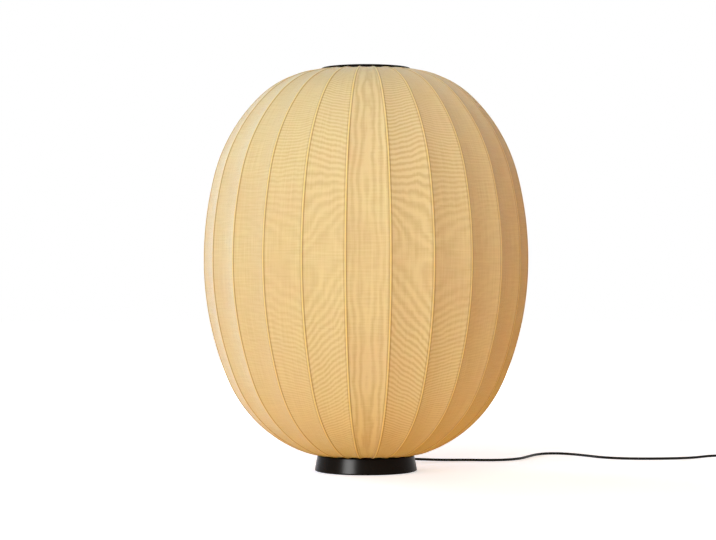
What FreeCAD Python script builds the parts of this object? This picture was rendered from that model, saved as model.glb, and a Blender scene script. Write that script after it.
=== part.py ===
# A knitted floor lamp: one seamless ribbed shade pulled over bent rods, which spring between
# two rings on a low weighted base. A stem carries the lamp holder and bulb inside the shade.
# Millimetres, +Z up, the origin on the floor under the middle of the base, the front towards -Y.
import FreeCAD, Part
import math
import os
import Sketcher
from FreeCAD import Placement, Rotation, Vector

SIZES = {
    # shade outline over the ribs
    "overall_height": 807.0,
    "shade_radius": 325.0,
    "widest_height": 423.0,
    "upper_side_turn": 14.0,
    "upper_shoulder_turn": 46.0,
    "upper_shoulder_radius": 334.0,
    "lower_side_turn": 22.5,
    "lower_shoulder_turn": 66.5,
    "lower_shoulder_radius": 266.5,
    # ribs, rods and knitted cloth
    "rib_count": 24,
    "first_rib_angle": 8.0,
    "rod_diameter": 4.0,
    "rod_gap": 0.35,
    "cloth_thickness": 0.9,
    "panel_sag": 2.5,
    "rib_cap_angle": 50.0,
    "hem_gap": 0.4,
    # rings that hold the rod ends
    "ring_outer_radius": 80.0,
    "ring_wall": 10.0,
    "ring_height": 14.0,
    "flange_radius": 89.0,
    "flange_thickness": 3.6,
    "flange_fillet": 1.2,
    "socket_depth": 8.0,
    "socket_clearance": 0.1,
    "ring_screw_count": 3,
    "ring_screw_radius": 1.5,
    "ring_screw_reach": 8.0,
    # base
    "base_bottom_radius": 103.0,
    "base_top_radius": 97.0,
    "base_height": 31.7,
    "base_wall": 2.5,
    "base_roof": 3.0,
    "base_lift": 1.0,
    "base_foot_fillet": 2.0,
    "base_top_fillet": 1.2,
    "pad_thickness": 2.5,
    "pad_margin": 6.0,
    "pad_inner_radius": 56.0,
    "plate_thickness": 2.0,
    "plate_bore_radius": 6.0,
    "weight_height": 15.5,
    "weight_bore_radius": 24.0,
    "weight_slot_width": 15.0,
    "plate_screw_count": 3,
    "plate_screw_circle": 45.0,
    "plate_screw_radius": 2.0,
    "plate_screw_reach": 9.0,
    "screw_head_height": 2.0,
    "screw_head_overhang": 1.6,
    "fit_gap": 0.3,
    "screw_gap": 0.15,
    # stem
    "stem_radius": 6.5,
    "stem_bore_radius": 5.0,
    "stem_top": 238.0,
    "nut_height": 5.0,
    "nut_width": 19.0,
    "collar_radius": 15.0,
    "collar_height": 9.0,
    "collar_rim_height": 3.0,
    "collar_neck_radius": 9.0,
    # lamp holder
    "holder_radius": 20.0,
    "holder_wall": 2.0,
    "holder_neck_radius": 10.0,
    "holder_neck_height": 10.0,
    "holder_taper": 8.0,
    "cap_wall_height": 12.0,
    "skirt_height": 28.0,
    "core_height": 9.0,
    "core_bore_radius": 3.5,
    "sleeve_bore_radius": 13.6,
    "sleeve_wall": 0.6,
    "sleeve_height": 24.0,
    "contact_radius": 5.0,
    "contact_height": 2.0,
    # bulb
    "bulb_cap_radius": 13.1,
    "bulb_cap_length": 25.0,
    "bulb_tip_radius": 4.5,
    "bulb_tip_length": 3.0,
    "bulb_collar_radius": 19.0,
    "bulb_collar_length": 14.0,
    "bulb_neck_radius": 17.0,
    "globe_radius": 47.5,
    "globe_wall": 1.2,
    # lead and strain relief
    "cord_diameter": 5.5,
    "floor_lift": 0.05,
    "gland_height": 11.0,
    "gland_shank_radius": 5.0,
    "gland_inner_length": 8.0,
    "gland_shoulder_length": 9.0,
    "gland_tail_length": 24.0,
    "gland_tip_radius": 3.7,
    "gland_groove_count": 5,
    "gland_groove_width": 1.6,
    "gland_groove_floor": 3.2,
    "cable_bend_radius": 18.0,
    # foot switch
    "switch_place_x": 807.0,
    "switch_place_y": 254.0,
    "switch_length": 84.0,
    "switch_width": 44.0,
    "switch_split": 8.0,
    "switch_edge_fillet": 4.0,
    "boss_radius": 5.5,
    "boss_length": 7.0,
    "well_radius": 15.4,
    "well_lip": 5.0,
    "button_radius": 15.0,
    "button_lip_radius": 17.2,
    "button_lip_height": 2.2,
    "button_proud": 5.0,
    "button_travel": 3.0,
    "button_fillet": 2.0,
    "switch_screw_count": 2,
    "switch_screw_reach_out": 32.0,
    "switch_screw_radius": 1.5,
    "switch_screw_bite": 5.0,
    # coil and its tie
    "coil_place_x": 862.0,
    "coil_place_y": 342.0,
    "coil_outer_radius": 40.5,
    "coil_half_turns_in": 6,
    "coil_half_turns_out": 5,
    "turn_gap": 0.7,
    "tie_thickness": 0.7,
    "tie_width": 9.0,
    "tie_gap": 0.35,
    # plug
    "plug_place_x": 798.0,
    "plug_place_y": 410.0,
    "plug_length": 34.0,
    "plug_front_width": 26.0,
    "plug_width": 35.3,
    "plug_back_width": 14.0,
    "plug_shoulder": 14.0,
    "plug_height": 13.7,
    "plug_fillet": 3.0,
    "plug_tail_length": 22.0,
    "plug_tail_radius": 5.2,
    "plug_tail_tip_radius": 3.7,
    "pin_radius": 2.0,
    "pin_length": 19.0,
    "pin_spacing": 18.6,
    "pin_fillet": 1.2,
}

FULL_TURN = 360.0
SAME_PLACE = 1e-4

doc = FreeCAD.newDocument("KnittedFloorLamp")
sheet = doc.addObject("Spreadsheet::Sheet", "Sizes")
for row, (alias, amount) in enumerate(SIZES.items(), start=1):
    sheet.set(f"A{row}", alias)
    sheet.set(f"B{row}", str(amount))
    sheet.setAlias(f"B{row}", alias)
doc.recompute()


class Size:
    """A number together with the sheet expression that gives it."""

    def __init__(self, value, text):
        self.value = float(value)
        self.text = text

    def __add__(self, other):
        other = as_size(other)
        return Size(self.value + other.value, f"({self.text} + {other.text})")

    def __sub__(self, other):
        other = as_size(other)
        return Size(self.value - other.value, f"({self.text} - {other.text})")

    def __mul__(self, other):
        other = as_size(other)
        return Size(self.value * other.value, f"({self.text} * {other.text})")

    def __truediv__(self, other):
        other = as_size(other)
        return Size(self.value / other.value, f"({self.text} / {other.text})")

    def __float__(self):
        return self.value


class Sheet:
    """Each alias of the sheet as a Size."""

    def __getattr__(self, alias):
        return Size(sheet.get(alias), f"Sizes.{alias}")


def as_size(amount):
    return amount if isinstance(amount, Size) else Size(amount, str(amount))


def cosine(angle):
    return Size(math.cos(math.radians(angle.value)), f"cos({angle.text})")


def sine(angle):
    return Size(math.sin(math.radians(angle.value)), f"sin({angle.text})")


def root(size):
    return Size(math.sqrt(size.value), f"sqrt({size.text})")


def least(one, other):
    return Size(min(one.value, other.value), f"min({one.text}; {other.text})")


S = Sheet()
ZERO = as_size(0)
TO_X = Rotation(Vector(0, 1, 0), 90)
TO_Y = Rotation(Vector(1, 0, 0), -90)
UPRIGHT = Rotation()
sub_parts = []


# Helpers that draw and build

def bind(thing, **properties):
    for name, size in properties.items():
        thing.setExpression(name.replace("__", "."), as_size(size).text)


def place(thing, x, y, z, rotation=UPRIGHT):
    x, y, z = as_size(x), as_size(y), as_size(z)
    thing.Placement = Placement(Vector(x.value, y.value, z.value), rotation)
    bind(thing, Placement__Base__x=x, Placement__Base__y=y, Placement__Base__z=z)


def turn(thing, angle):
    thing.Placement = Placement(thing.Placement.Base, Rotation(Vector(0, 0, 1), angle.value))
    bind(thing, Placement__Rotation__Angle=angle)


def new_body(label):
    body = doc.addObject("PartDesign::Body", label)
    body.Label = label
    sub_parts.append(body)
    return body


def origin_of(body, role):
    return next(feature for feature in body.Origin.OriginFeatures if feature.Role == role)


def sketch_on(body, role, name):
    sketch = body.newObject("Sketcher::SketchObject", name)
    sketch.AttachmentSupport = [(origin_of(body, role), "")]
    sketch.MapMode = "FlatFace"
    return sketch


def measure(sketch, kind, size, *where):
    index = sketch.addConstraint(Sketcher.Constraint(kind, *where, size.value))
    sketch.setExpression(f"Constraints[{index}]", size.text)


def pin_point(sketch, geometry, point, across, up):
    """Hold a sketch point by its distances from the sketch's origin."""
    for kind, axis, size in (("DistanceX", -2, across), ("DistanceY", -1, up)):
        if size is ZERO:
            sketch.addConstraint(Sketcher.Constraint("PointOnObject", geometry, point, axis))
        else:
            measure(sketch, kind, size, -1, 1, geometry, point)


def outline(sketch, corners):
    """A closed outline of straight lines whose corners follow the sheet."""
    points = [Vector(across.value, up.value, 0) for across, up in corners]
    count = len(points)
    first = sketch.GeometryCount
    for i in range(count):
        sketch.addGeometry(Part.LineSegment(points[i], points[(i + 1) % count]))
    for i, (across, up) in enumerate(corners):
        sketch.addConstraint(Sketcher.Constraint("Coincident", first + i, 2, first + (i + 1) % count, 1))
        pin_point(sketch, first + i, 1, across, up)


def revolve(body, sketch):
    feature = body.newObject("PartDesign::Revolution", body.Name + "_turned")
    feature.Profile = sketch
    feature.ReferenceAxis = (sketch, ["V_Axis"])
    feature.Angle = FULL_TURN
    return feature


def turned(label, corners):
    """A body turned about the upright axis from corners given as radius and height."""
    body = new_body(label)
    sketch = sketch_on(body, "XZ_Plane", label + "_profile")
    outline(sketch, corners)
    revolve(body, sketch)
    return body


def pad(body, sketch, length):
    feature = body.newObject("PartDesign::Pad", sketch.Name + "_pad")
    feature.Profile = sketch
    bind(feature, Length=length)
    return feature


def cylinder(body, kind, name, radius, length, at, rotation=UPRIGHT):
    feature = body.newObject(f"PartDesign::{kind}Cylinder", f"{body.Name}_{name}")
    bind(feature, Radius=radius, Height=length)
    place(feature, *at, rotation)
    return feature


def box(body, kind, name, lengths, at):
    feature = body.newObject(f"PartDesign::{kind}Box", f"{body.Name}_{name}")
    bind(feature, Length=lengths[0], Width=lengths[1], Height=lengths[2])
    place(feature, *at)
    return feature


def pattern(body, originals, count):
    feature = body.newObject("PartDesign::PolarPattern", originals[0].Name + "_ring")
    feature.Originals = originals
    feature.Axis = (origin_of(body, "Z_Axis"), [""])
    feature.Angle = FULL_TURN
    bind(feature, Occurrences=count)
    body.Tip = feature
    return feature


def fillet(body, radius, wanted):
    """Round the edges of the body's tip that the test picks."""
    doc.recompute()
    tip = body.Tip
    names = [f"Edge{i}" for i, edge in enumerate(tip.Shape.Edges, start=1) if wanted(edge)]
    feature = body.newObject("PartDesign::Fillet", body.Name + "_fillet")
    feature.Base = (tip, names)
    bind(feature, Radius=radius)
    return feature


def near(a, b):
    return abs(a - float(b)) < SAME_PLACE


def is_circle(edge, radius, height):
    curve = edge.Curve
    return isinstance(curve, Part.Circle) and near(curve.Radius, radius) and near(curve.Center.z, height)


def polar(radius, angle):
    return radius * cosine(angle), radius * sine(angle)


def screws(label, circle, angle, seat, radius, reach, count):
    """A ring of pan-headed screws, driven upwards, whose heads bear on the seat from below."""
    body = new_body(label)
    x, y = polar(circle, angle)
    head = cylinder(body, "Additive", "head", radius + S.screw_head_overhang, S.screw_head_height,
                    (x, y, seat - S.screw_head_height))
    shank = cylinder(body, "Additive", "shank", radius, reach, (x, y, seat))
    pattern(body, [head, shank], count)
    return body


def screw_holes(body, name, circle, angle, bottom, radius, length, count):
    x, y = polar(circle, angle)
    hole = cylinder(body, "Subtractive", name, radius + S.screw_gap, length, (x, y, bottom))
    pattern(body, [hole], count)


# The bend of a rib: side, shoulder and end arcs, tangent to each other, above and below the widest point

rib_step = as_size(FULL_TURN) / S.rib_count
front_rib = S.first_rib_angle - 90
rod_depth = S.cloth_thickness + S.rod_gap + S.rod_diameter / 2
cloth_end_radius = S.ring_outer_radius + S.hem_gap
cloth_top = S.overall_height - S.flange_thickness - S.hem_gap
cloth_bottom = S.base_height + S.hem_gap


class Arc:
    def __init__(self, centre_r, centre_z, radius, start, end):
        self.centre_r = centre_r
        self.centre_z = centre_z
        self.radius = radius
        self.start = start
        self.end = end

    def point(self, angle, inset=0.0):
        reach = self.radius - inset
        return self.centre_r + reach * math.cos(angle), self.centre_z + reach * math.sin(angle)


def half_bend(rise, shoulder_radius, side_turn, shoulder_turn, upwards):
    """Three arcs from the widest point to the ring, where the rib comes in level.

    The shoulder radius and the two turns are given. The side and end radii are what is left over:
    two unknowns from the height and the width that the chain has to cover.
    """
    run = float(S.shade_radius - cloth_end_radius)
    one, two = math.radians(side_turn.value), math.radians(shoulder_turn.value)
    shoulder = shoulder_radius.value
    across = run - shoulder * (math.cos(one) - math.cos(two))
    along = rise.value - shoulder * (math.sin(two) - math.sin(one))
    a, b = 1 - math.cos(one), math.cos(two)
    c, d = math.sin(one), 1 - math.sin(two)
    side = (across * d - b * along) / (a * d - b * c)
    end = (a * along - c * across) / (a * d - b * c)
    centre_r, centre_z = S.shade_radius.value - side, 0.0
    arcs = [(centre_r, centre_z, side, 0.0, one)]
    for radius, last, start, stop in ((shoulder, side, one, two), (end, shoulder, two, math.pi / 2)):
        centre_r += (last - radius) * math.cos(start)
        centre_z += (last - radius) * math.sin(start)
        arcs.append((centre_r, centre_z, radius, start, stop))
    level = S.widest_height.value
    if upwards:
        return [Arc(r, level + z, radius, start, stop) for r, z, radius, start, stop in arcs]
    return [Arc(r, level - z, radius, -stop, -start) for r, z, radius, start, stop in reversed(arcs)]


lower_arcs = half_bend(S.widest_height - cloth_bottom, S.lower_shoulder_radius,
                       S.lower_side_turn, S.lower_shoulder_turn, upwards=False)
upper_arcs = half_bend(cloth_top - S.widest_height, S.upper_shoulder_radius,
                       S.upper_side_turn, S.upper_shoulder_turn, upwards=True)
rib_arcs = lower_arcs + upper_arcs
print("rib arc radii", [round(arc.radius, 1) for arc in rib_arcs])

# Base

FILLET_SHARE = 0.995

base_under_roof = S.base_height - S.base_roof
flare_run = S.base_bottom_radius - S.base_top_radius
flare_rise = base_under_roof - S.base_lift
flare_length = root(flare_run * flare_run + flare_rise * flare_rise)
base_flare = flare_run / flare_rise
foot_fillet_room = S.base_wall * flare_rise / (flare_length + flare_run) * FILLET_SHARE


def inside_radius(height):
    """The base shell's inner radius at a height."""
    return S.base_bottom_radius - S.base_wall - (height - S.base_lift) * base_flare


ring_screw_circle = S.ring_outer_radius - S.ring_wall / 2
ring_screw_angle = front_rib + rib_step / 2
stem_hole_radius = S.stem_radius + S.screw_gap
base_shell = turned("base_shell", [
    (stem_hole_radius, S.base_height),
    (S.base_top_radius, S.base_height),
    (S.base_bottom_radius, S.base_lift),
    (S.base_bottom_radius - S.base_wall, S.base_lift),
    (S.base_top_radius - S.base_wall, base_under_roof),
    (stem_hole_radius, base_under_roof),
])
fillet(base_shell, least(S.base_foot_fillet, foot_fillet_room),
       lambda edge: is_circle(edge, S.base_bottom_radius, S.base_lift))
fillet(base_shell, S.base_top_fillet, lambda edge: is_circle(edge, S.base_top_radius, S.base_height))
cylinder(base_shell, "Subtractive", "lead_hole", S.gland_shank_radius + S.screw_gap,
         S.base_bottom_radius * 2, (0, S.weight_bore_radius, S.gland_height), TO_Y)
screw_holes(base_shell, "ring_hole", ring_screw_circle, ring_screw_angle, base_under_roof,
            S.ring_screw_radius, S.base_roof, S.ring_screw_count)

plate_top = S.pad_thickness + S.plate_thickness
pad_outer_radius = S.base_bottom_radius - S.pad_margin
turned("base_pad", [
    (S.pad_inner_radius, ZERO),
    (pad_outer_radius, ZERO),
    (pad_outer_radius, S.pad_thickness),
    (S.pad_inner_radius, S.pad_thickness),
])
plate_radius = inside_radius(plate_top) - S.fit_gap
base_plate = turned("base_plate", [
    (S.plate_bore_radius, S.pad_thickness),
    (plate_radius, S.pad_thickness),
    (plate_radius, plate_top),
    (S.plate_bore_radius, plate_top),
])
screw_holes(base_plate, "hole", S.plate_screw_circle, ZERO, S.pad_thickness,
            S.plate_screw_radius, S.plate_thickness, S.plate_screw_count)
weight_top = plate_top + S.weight_height
base_weight = turned("base_weight", [
    (S.weight_bore_radius, plate_top),
    (inside_radius(plate_top) - S.fit_gap * 2, plate_top),
    (inside_radius(weight_top) - S.fit_gap * 2, weight_top),
    (S.weight_bore_radius, weight_top),
])
box(base_weight, "Subtractive", "lead_slot", (S.weight_slot_width, S.base_bottom_radius, S.weight_height),
    (S.weight_slot_width / -2, ZERO, plate_top))
screw_holes(base_weight, "hole", S.plate_screw_circle, ZERO, plate_top, S.plate_screw_radius,
            S.plate_screw_reach - S.plate_thickness + S.fit_gap, S.plate_screw_count)
screws("plate_screws", S.plate_screw_circle, ZERO, S.pad_thickness, S.plate_screw_radius,
       S.plate_screw_reach, S.plate_screw_count)

# Rings with one level socket for each rod

socket_radius = S.rod_diameter / 2 + S.socket_clearance
socket_floor = S.ring_outer_radius - S.socket_depth
rod_bottom_height = cloth_bottom + rod_depth
rod_top_height = cloth_top - rod_depth


def socketed(ring, height):
    socket = cylinder(ring, "Subtractive", "socket", socket_radius, S.socket_depth * 2,
                      (socket_floor, 0, height), TO_X)
    pattern(ring, [socket], S.rib_count)
    turn(ring, front_rib)


ring_bore_radius = S.ring_outer_radius - S.ring_wall
top_ring_foot = S.overall_height - S.ring_height
flange_underside = S.overall_height - S.flange_thickness
top_ring = turned("top_ring", [
    (ring_bore_radius, top_ring_foot),
    (S.ring_outer_radius, top_ring_foot),
    (S.ring_outer_radius, flange_underside),
    (S.flange_radius, flange_underside),
    (S.flange_radius, S.overall_height),
    (ring_bore_radius, S.overall_height),
])
fillet(top_ring, S.flange_fillet, lambda edge: is_circle(edge, S.flange_radius, S.overall_height))
socketed(top_ring, rod_top_height)
bottom_ring = turned("bottom_ring", [
    (ring_bore_radius, S.base_height),
    (S.ring_outer_radius, S.base_height),
    (S.ring_outer_radius, S.base_height + S.ring_height),
    (ring_bore_radius, S.base_height + S.ring_height),
])
screw_holes(bottom_ring, "hole", ring_screw_circle, rib_step / 2, S.base_height, S.ring_screw_radius,
            S.ring_screw_reach + S.fit_gap, S.ring_screw_count)
socketed(bottom_ring, rod_bottom_height)
screws("ring_screws", ring_screw_circle, ring_screw_angle, base_under_roof, S.ring_screw_radius,
       S.base_roof + S.ring_screw_reach, S.ring_screw_count)

# Rods: one is swept along the rib's bend, the others are turned copies of it

rod_tip_radius = socket_floor + S.fit_gap
rod_shape = doc.addObject("PartDesign::Body", "rod_shape")
rod_path = sketch_on(rod_shape, "XZ_Plane", "rod_path")


def draw_rod_path(sketch):
    foot, head = rod_bottom_height.value, rod_top_height.value
    tip, mouth = rod_tip_radius.value, cloth_end_radius.value
    sketch.addGeometry(Part.LineSegment(Vector(tip, foot, 0), Vector(mouth, foot, 0)))
    for arc in rib_arcs:
        centre = Vector(arc.centre_r, arc.centre_z, 0)
        circle = Part.Circle(centre, Vector(0, 0, 1), arc.radius - rod_depth.value)
        sketch.addGeometry(Part.ArcOfCircle(circle, arc.start, arc.end))
    sketch.addGeometry(Part.LineSegment(Vector(mouth, head, 0), Vector(tip, head, 0)))
    last = sketch.GeometryCount - 1
    for i in range(last):
        sketch.addConstraint(Sketcher.Constraint("Tangent", i, 2, i + 1, 1))
    pin_point(sketch, 0, 1, rod_tip_radius, rod_bottom_height)
    pin_point(sketch, last, 2, rod_tip_radius, rod_top_height)
    for line, end in ((0, 2), (last, 1)):
        sketch.addConstraint(Sketcher.Constraint("Horizontal", line))
        measure(sketch, "DistanceX", cloth_end_radius, -1, 1, line, end)
    heel, lower_shoulder, lower_side, upper_side, upper_shoulder, crown = range(1, last)
    pin_point(sketch, upper_side, 1, S.shade_radius - rod_depth, S.widest_height)
    measure(sketch, "DistanceY", S.widest_height, -1, 1, upper_side, 3)
    measure(sketch, "Radius", S.lower_shoulder_radius - rod_depth, lower_shoulder)
    measure(sketch, "Radius", S.upper_shoulder_radius - rod_depth, upper_shoulder)
    for arc, sweep in ((lower_side, S.lower_side_turn), (upper_side, S.upper_side_turn),
                       (lower_shoulder, S.lower_shoulder_turn - S.lower_side_turn),
                       (upper_shoulder, S.upper_shoulder_turn - S.upper_side_turn)):
        index = sketch.addConstraint(Sketcher.Constraint("Angle", arc, math.radians(sweep.value)))
        sketch.setExpression(f"Constraints[{index}]", sweep.text + " * 1deg")


draw_rod_path(rod_path)
rod_section = sketch_on(rod_shape, "YZ_Plane", "rod_section")
rod_section.AttachmentOffset = Placement(Vector(0, 0, rod_tip_radius.value), Rotation())
rod_section.setExpression("AttachmentOffset.Base.z", rod_tip_radius.text)
section_middle = Vector(0, rod_bottom_height.value, 0)
rod_section.addGeometry(Part.Circle(section_middle, Vector(0, 0, 1), S.rod_diameter.value / 2))
pin_point(rod_section, 0, 3, ZERO, rod_bottom_height)
measure(rod_section, "Radius", S.rod_diameter / 2, 0)
doc.recompute()
rod_sweep = rod_shape.newObject("PartDesign::AdditivePipe", "rod_sweep")
rod_sweep.Profile = rod_section
rod_sweep.Spine = (rod_path, [f"Edge{i}" for i in range(1, rod_path.GeometryCount + 1)])

for number in range(int(S.rib_count.value)):
    rod = doc.addObject("App::Link", f"rod_{number + 1:02d}")
    rod.Label = rod.Name
    rod.LinkedObject = rod_shape
    turn(rod, front_rib + rib_step * number)
    sub_parts.append(rod)

# Knitted shade: one smooth cloth, rounded over each rod and drawn hollow between the rods

STATION_TURN = math.radians(8.0)


def stations():
    """Places along the rib's bend: the arc and the angle on it."""
    found = []
    for arc in rib_arcs:
        steps = math.ceil((arc.end - arc.start) / STATION_TURN)
        found += [(arc, arc.start + (arc.end - arc.start) * i / steps) for i in range(steps)]
    return found + [(rib_arcs[-1], rib_arcs[-1].end)]


def cloth_section(arc, angle, inner):
    """The closed line of one face of the cloth round the shade at one station."""
    depth = rod_depth.value
    cap_radius = depth - (S.cloth_thickness.value if inner else 0.0)
    cap = math.radians(S.rib_cap_angle.value)
    axis_r, axis_z = arc.point(angle, depth)
    ridge_r = arc.point(angle)[0]
    sag = S.panel_sag.value * ridge_r / S.shade_radius.value

    def outwards(azimuth):
        level = Vector(math.cos(azimuth), math.sin(azimuth), 0)
        return level * math.cos(angle) + Vector(0, 0, math.sin(angle))

    def over_rod(azimuth, lean, radius):
        middle = Vector(axis_r * math.cos(azimuth), axis_r * math.sin(azimuth), axis_z)
        sideways = Vector(-math.sin(azimuth), math.cos(azimuth), 0)
        return middle + (outwards(azimuth) * math.cos(lean) + sideways * math.sin(lean)) * radius

    step = math.radians(rib_step.value)
    edges = []
    for rib in range(int(S.rib_count.value)):
        here = math.radians(front_rib.value) + rib * step
        left, top, right = (over_rod(here, lean, cap_radius) for lean in (-cap, 0.0, cap))
        following = over_rod(here + step, -cap, cap_radius)
        chord = (over_rod(here, cap, depth) + over_rod(here + step, -cap, depth)) * 0.5
        hollow = sag + (S.cloth_thickness.value if inner else 0.0)
        middle = chord - outwards(here + step / 2) * hollow
        edges.append(Part.Arc(left, top, right).toShape())
        edges.append(Part.Arc(right, middle, following).toShape())
    return Part.Wire(edges)


def knitted_shade():
    faces = []
    rims = []
    for inner in (False, True):
        sections = [cloth_section(arc, angle, inner) for arc, angle in stations()]
        faces += Part.makeLoft(sections, False, False).Faces
        rims.append((sections[0], sections[-1]))
    for outer_rim, inner_rim in zip(*rims):
        for outer_edge, inner_edge in zip(outer_rim.Edges, inner_rim.Edges):
            faces.append(Part.makeRuledSurface(outer_edge, inner_edge))
    shell = Part.makeCompound(faces)
    shell.sewShape(SAME_PLACE)
    return Part.makeSolid(shell.Shells[0])


def add_shape(label, shape):
    feature = doc.addObject("Part::Feature", label)
    feature.Label = label
    feature.Shape = shape
    sub_parts.append(feature)
    return feature


add_shape("knit_shade", knitted_shade())

# Stem

nut_bottom = base_under_roof - S.nut_height
turned("stem_tube", [
    (S.stem_bore_radius, nut_bottom),
    (S.stem_radius, nut_bottom),
    (S.stem_radius, S.stem_top),
    (S.stem_bore_radius, S.stem_top),
])
stem_nut = new_body("stem_nut")
nut_plan = sketch_on(stem_nut, "XY_Plane", "nut_plan")
NUT_SIDES = 6
NUT_TILT = 15.0
nut_side_angle = FULL_TURN / NUT_SIDES
corner_radius = S.nut_width / (cosine(as_size(nut_side_angle / 2)) * 2)
outline(nut_plan, [polar(corner_radius, as_size(NUT_TILT + nut_side_angle * i)) for i in range(NUT_SIDES)])
pad(stem_nut, nut_plan, S.nut_height)
cylinder(stem_nut, "Subtractive", "bore", stem_hole_radius, S.nut_height, (0, 0, 0))
place(stem_nut, 0, 0, nut_bottom)
collar_top = S.base_height + S.collar_height
turned("stem_collar", [
    (stem_hole_radius, S.base_height),
    (S.collar_radius, S.base_height),
    (S.collar_radius, S.base_height + S.collar_rim_height),
    (S.collar_neck_radius, collar_top),
    (stem_hole_radius, collar_top),
])

# Lamp holder

cap_foot = S.stem_top - S.holder_neck_height
cap_floor = S.stem_top + S.holder_taper
cap_rim = cap_floor + S.cap_wall_height
holder_bore = S.holder_radius - S.holder_wall
turned("holder_cap", [
    (stem_hole_radius, cap_foot),
    (S.holder_neck_radius, cap_foot),
    (S.holder_neck_radius, S.stem_top),
    (S.holder_radius, cap_floor),
    (S.holder_radius, cap_rim),
    (holder_bore, cap_rim),
    (holder_bore, cap_floor),
    (stem_hole_radius, S.stem_top + S.fit_gap),
])
turned("holder_skirt", [
    (holder_bore, cap_rim),
    (S.holder_radius, cap_rim),
    (S.holder_radius, cap_rim + S.skirt_height),
    (holder_bore, cap_rim + S.skirt_height),
])
core_top = cap_floor + S.core_height
core_radius = holder_bore - S.fit_gap
turned("holder_core", [
    (S.core_bore_radius, cap_floor),
    (core_radius, cap_floor),
    (core_radius, core_top),
    (S.core_bore_radius, core_top),
])
turned("thread_sleeve", [
    (S.sleeve_bore_radius, core_top),
    (S.sleeve_bore_radius + S.sleeve_wall, core_top),
    (S.sleeve_bore_radius + S.sleeve_wall, core_top + S.sleeve_height),
    (S.sleeve_bore_radius, core_top + S.sleeve_height),
])
contact_top = core_top + S.contact_height
turned("centre_contact", [
    (ZERO, core_top),
    (S.contact_radius, core_top),
    (S.bulb_tip_radius, contact_top),
    (ZERO, contact_top),
])

# Bulb

bulb_foot = contact_top + S.fit_gap
thread_foot = bulb_foot + S.bulb_tip_length
bulb_cap_top = bulb_foot + S.bulb_cap_length
turned("bulb_cap", [
    (ZERO, bulb_foot),
    (S.bulb_tip_radius, bulb_foot),
    (S.bulb_cap_radius, thread_foot),
    (S.bulb_cap_radius, bulb_cap_top),
    (ZERO, bulb_cap_top),
])
collar_rim = bulb_cap_top + S.bulb_collar_length
turned("bulb_collar", [
    (ZERO, bulb_cap_top),
    (S.bulb_cap_radius, bulb_cap_top),
    (S.bulb_collar_radius, collar_rim),
    (ZERO, collar_rim),
])
bulb_globe = new_body("bulb_globe")
globe_profile = sketch_on(bulb_globe, "XZ_Plane", "globe_profile")


def draw_globe(sketch):
    """The wall of a globe that stands on its neck, as two concentric arcs closed by a line."""
    outer, neck = S.globe_radius.value, S.bulb_neck_radius.value
    inner = outer - S.globe_wall.value
    rise = math.sqrt(outer ** 2 - neck ** 2)
    centre = Vector(0, collar_rim.value + rise, 0)
    for radius in (outer, inner):
        circle = Part.Circle(centre, Vector(0, 0, 1), radius)
        sketch.addGeometry(Part.ArcOfCircle(circle, -math.asin(rise / radius), math.pi / 2))
    ends = [sketch.getPoint(1, 1), sketch.getPoint(0, 1)]
    sketch.addGeometry(Part.LineSegment(*ends))
    sketch.addGeometry(Part.LineSegment(sketch.getPoint(0, 2), sketch.getPoint(1, 2)))
    links = ((2, 1, 1, 1), (2, 2, 0, 1), (3, 1, 0, 2), (3, 2, 1, 2), (0, 3, 1, 3))
    for link in links:
        sketch.addConstraint(Sketcher.Constraint("Coincident", *link))
    for geometry, point in ((0, 3), (0, 2), (1, 2)):
        sketch.addConstraint(Sketcher.Constraint("PointOnObject", geometry, point, -2))
    measure(sketch, "Radius", S.globe_radius, 0)
    measure(sketch, "Radius", S.globe_radius - S.globe_wall, 1)
    pin_point(sketch, 0, 1, S.bulb_neck_radius, collar_rim)
    measure(sketch, "DistanceY", collar_rim, -1, 1, 1, 1)


draw_globe(globe_profile)
revolve(bulb_globe, globe_profile)

# Lead: tubes along straight runs that are joined by tangent arcs

ARC_SHARE = 0.45


def tube(name, points, diameter):
    """A round tube along a route, each corner rounded by the largest arc that its runs allow."""
    edges = []
    radii = []
    last = points[0]
    for before, corner, after in zip(points, points[1:], points[2:]):
        back, ahead = before - corner, after - corner
        reach = ARC_SHARE * min(back.Length, ahead.Length)
        back.normalize()
        ahead.normalize()
        half_turn = (math.pi - back.getAngle(ahead)) / 2
        radius = reach / math.tan(half_turn)
        enter, leave = corner + back * reach, corner + ahead * reach
        bisector = (back + ahead).normalize()
        middle = corner + bisector * (radius / math.cos(half_turn) - radius)
        edges.append(Part.LineSegment(last, enter).toShape())
        edges.append(Part.Arc(enter, middle, leave).toShape())
        radii.append(radius)
        last = leave
    edges.append(Part.LineSegment(last, points[-1]).toShape())
    return swept(name, Part.Wire(edges), points[1] - points[0], diameter, radii)


def swept(name, path, heading, diameter, radii):
    start = path.OrderedVertexes[0].Point
    ring = Part.Wire(Part.Circle(start, heading, diameter / 2).toShape())
    solid = path.makePipeShell([ring], True, False)
    share = solid.Volume / (math.pi * diameter ** 2 / 4 * path.Length)
    print(f"{name}: length {path.Length:.0f}, least radius {min(radii):.1f}, volume share {share:.4f}")
    return add_shape(name, solid)


cord_size = S.cord_diameter.value
cord_level = cord_size / 2 + S.floor_lift.value

gland_back = inside_radius(S.gland_height) - S.gland_inner_length
gland_mouth = S.base_bottom_radius + S.gland_shoulder_length
gland_tip = gland_mouth + S.gland_tail_length
gland_taper = (S.gland_shank_radius - S.gland_tip_radius) / S.gland_tail_length


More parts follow.
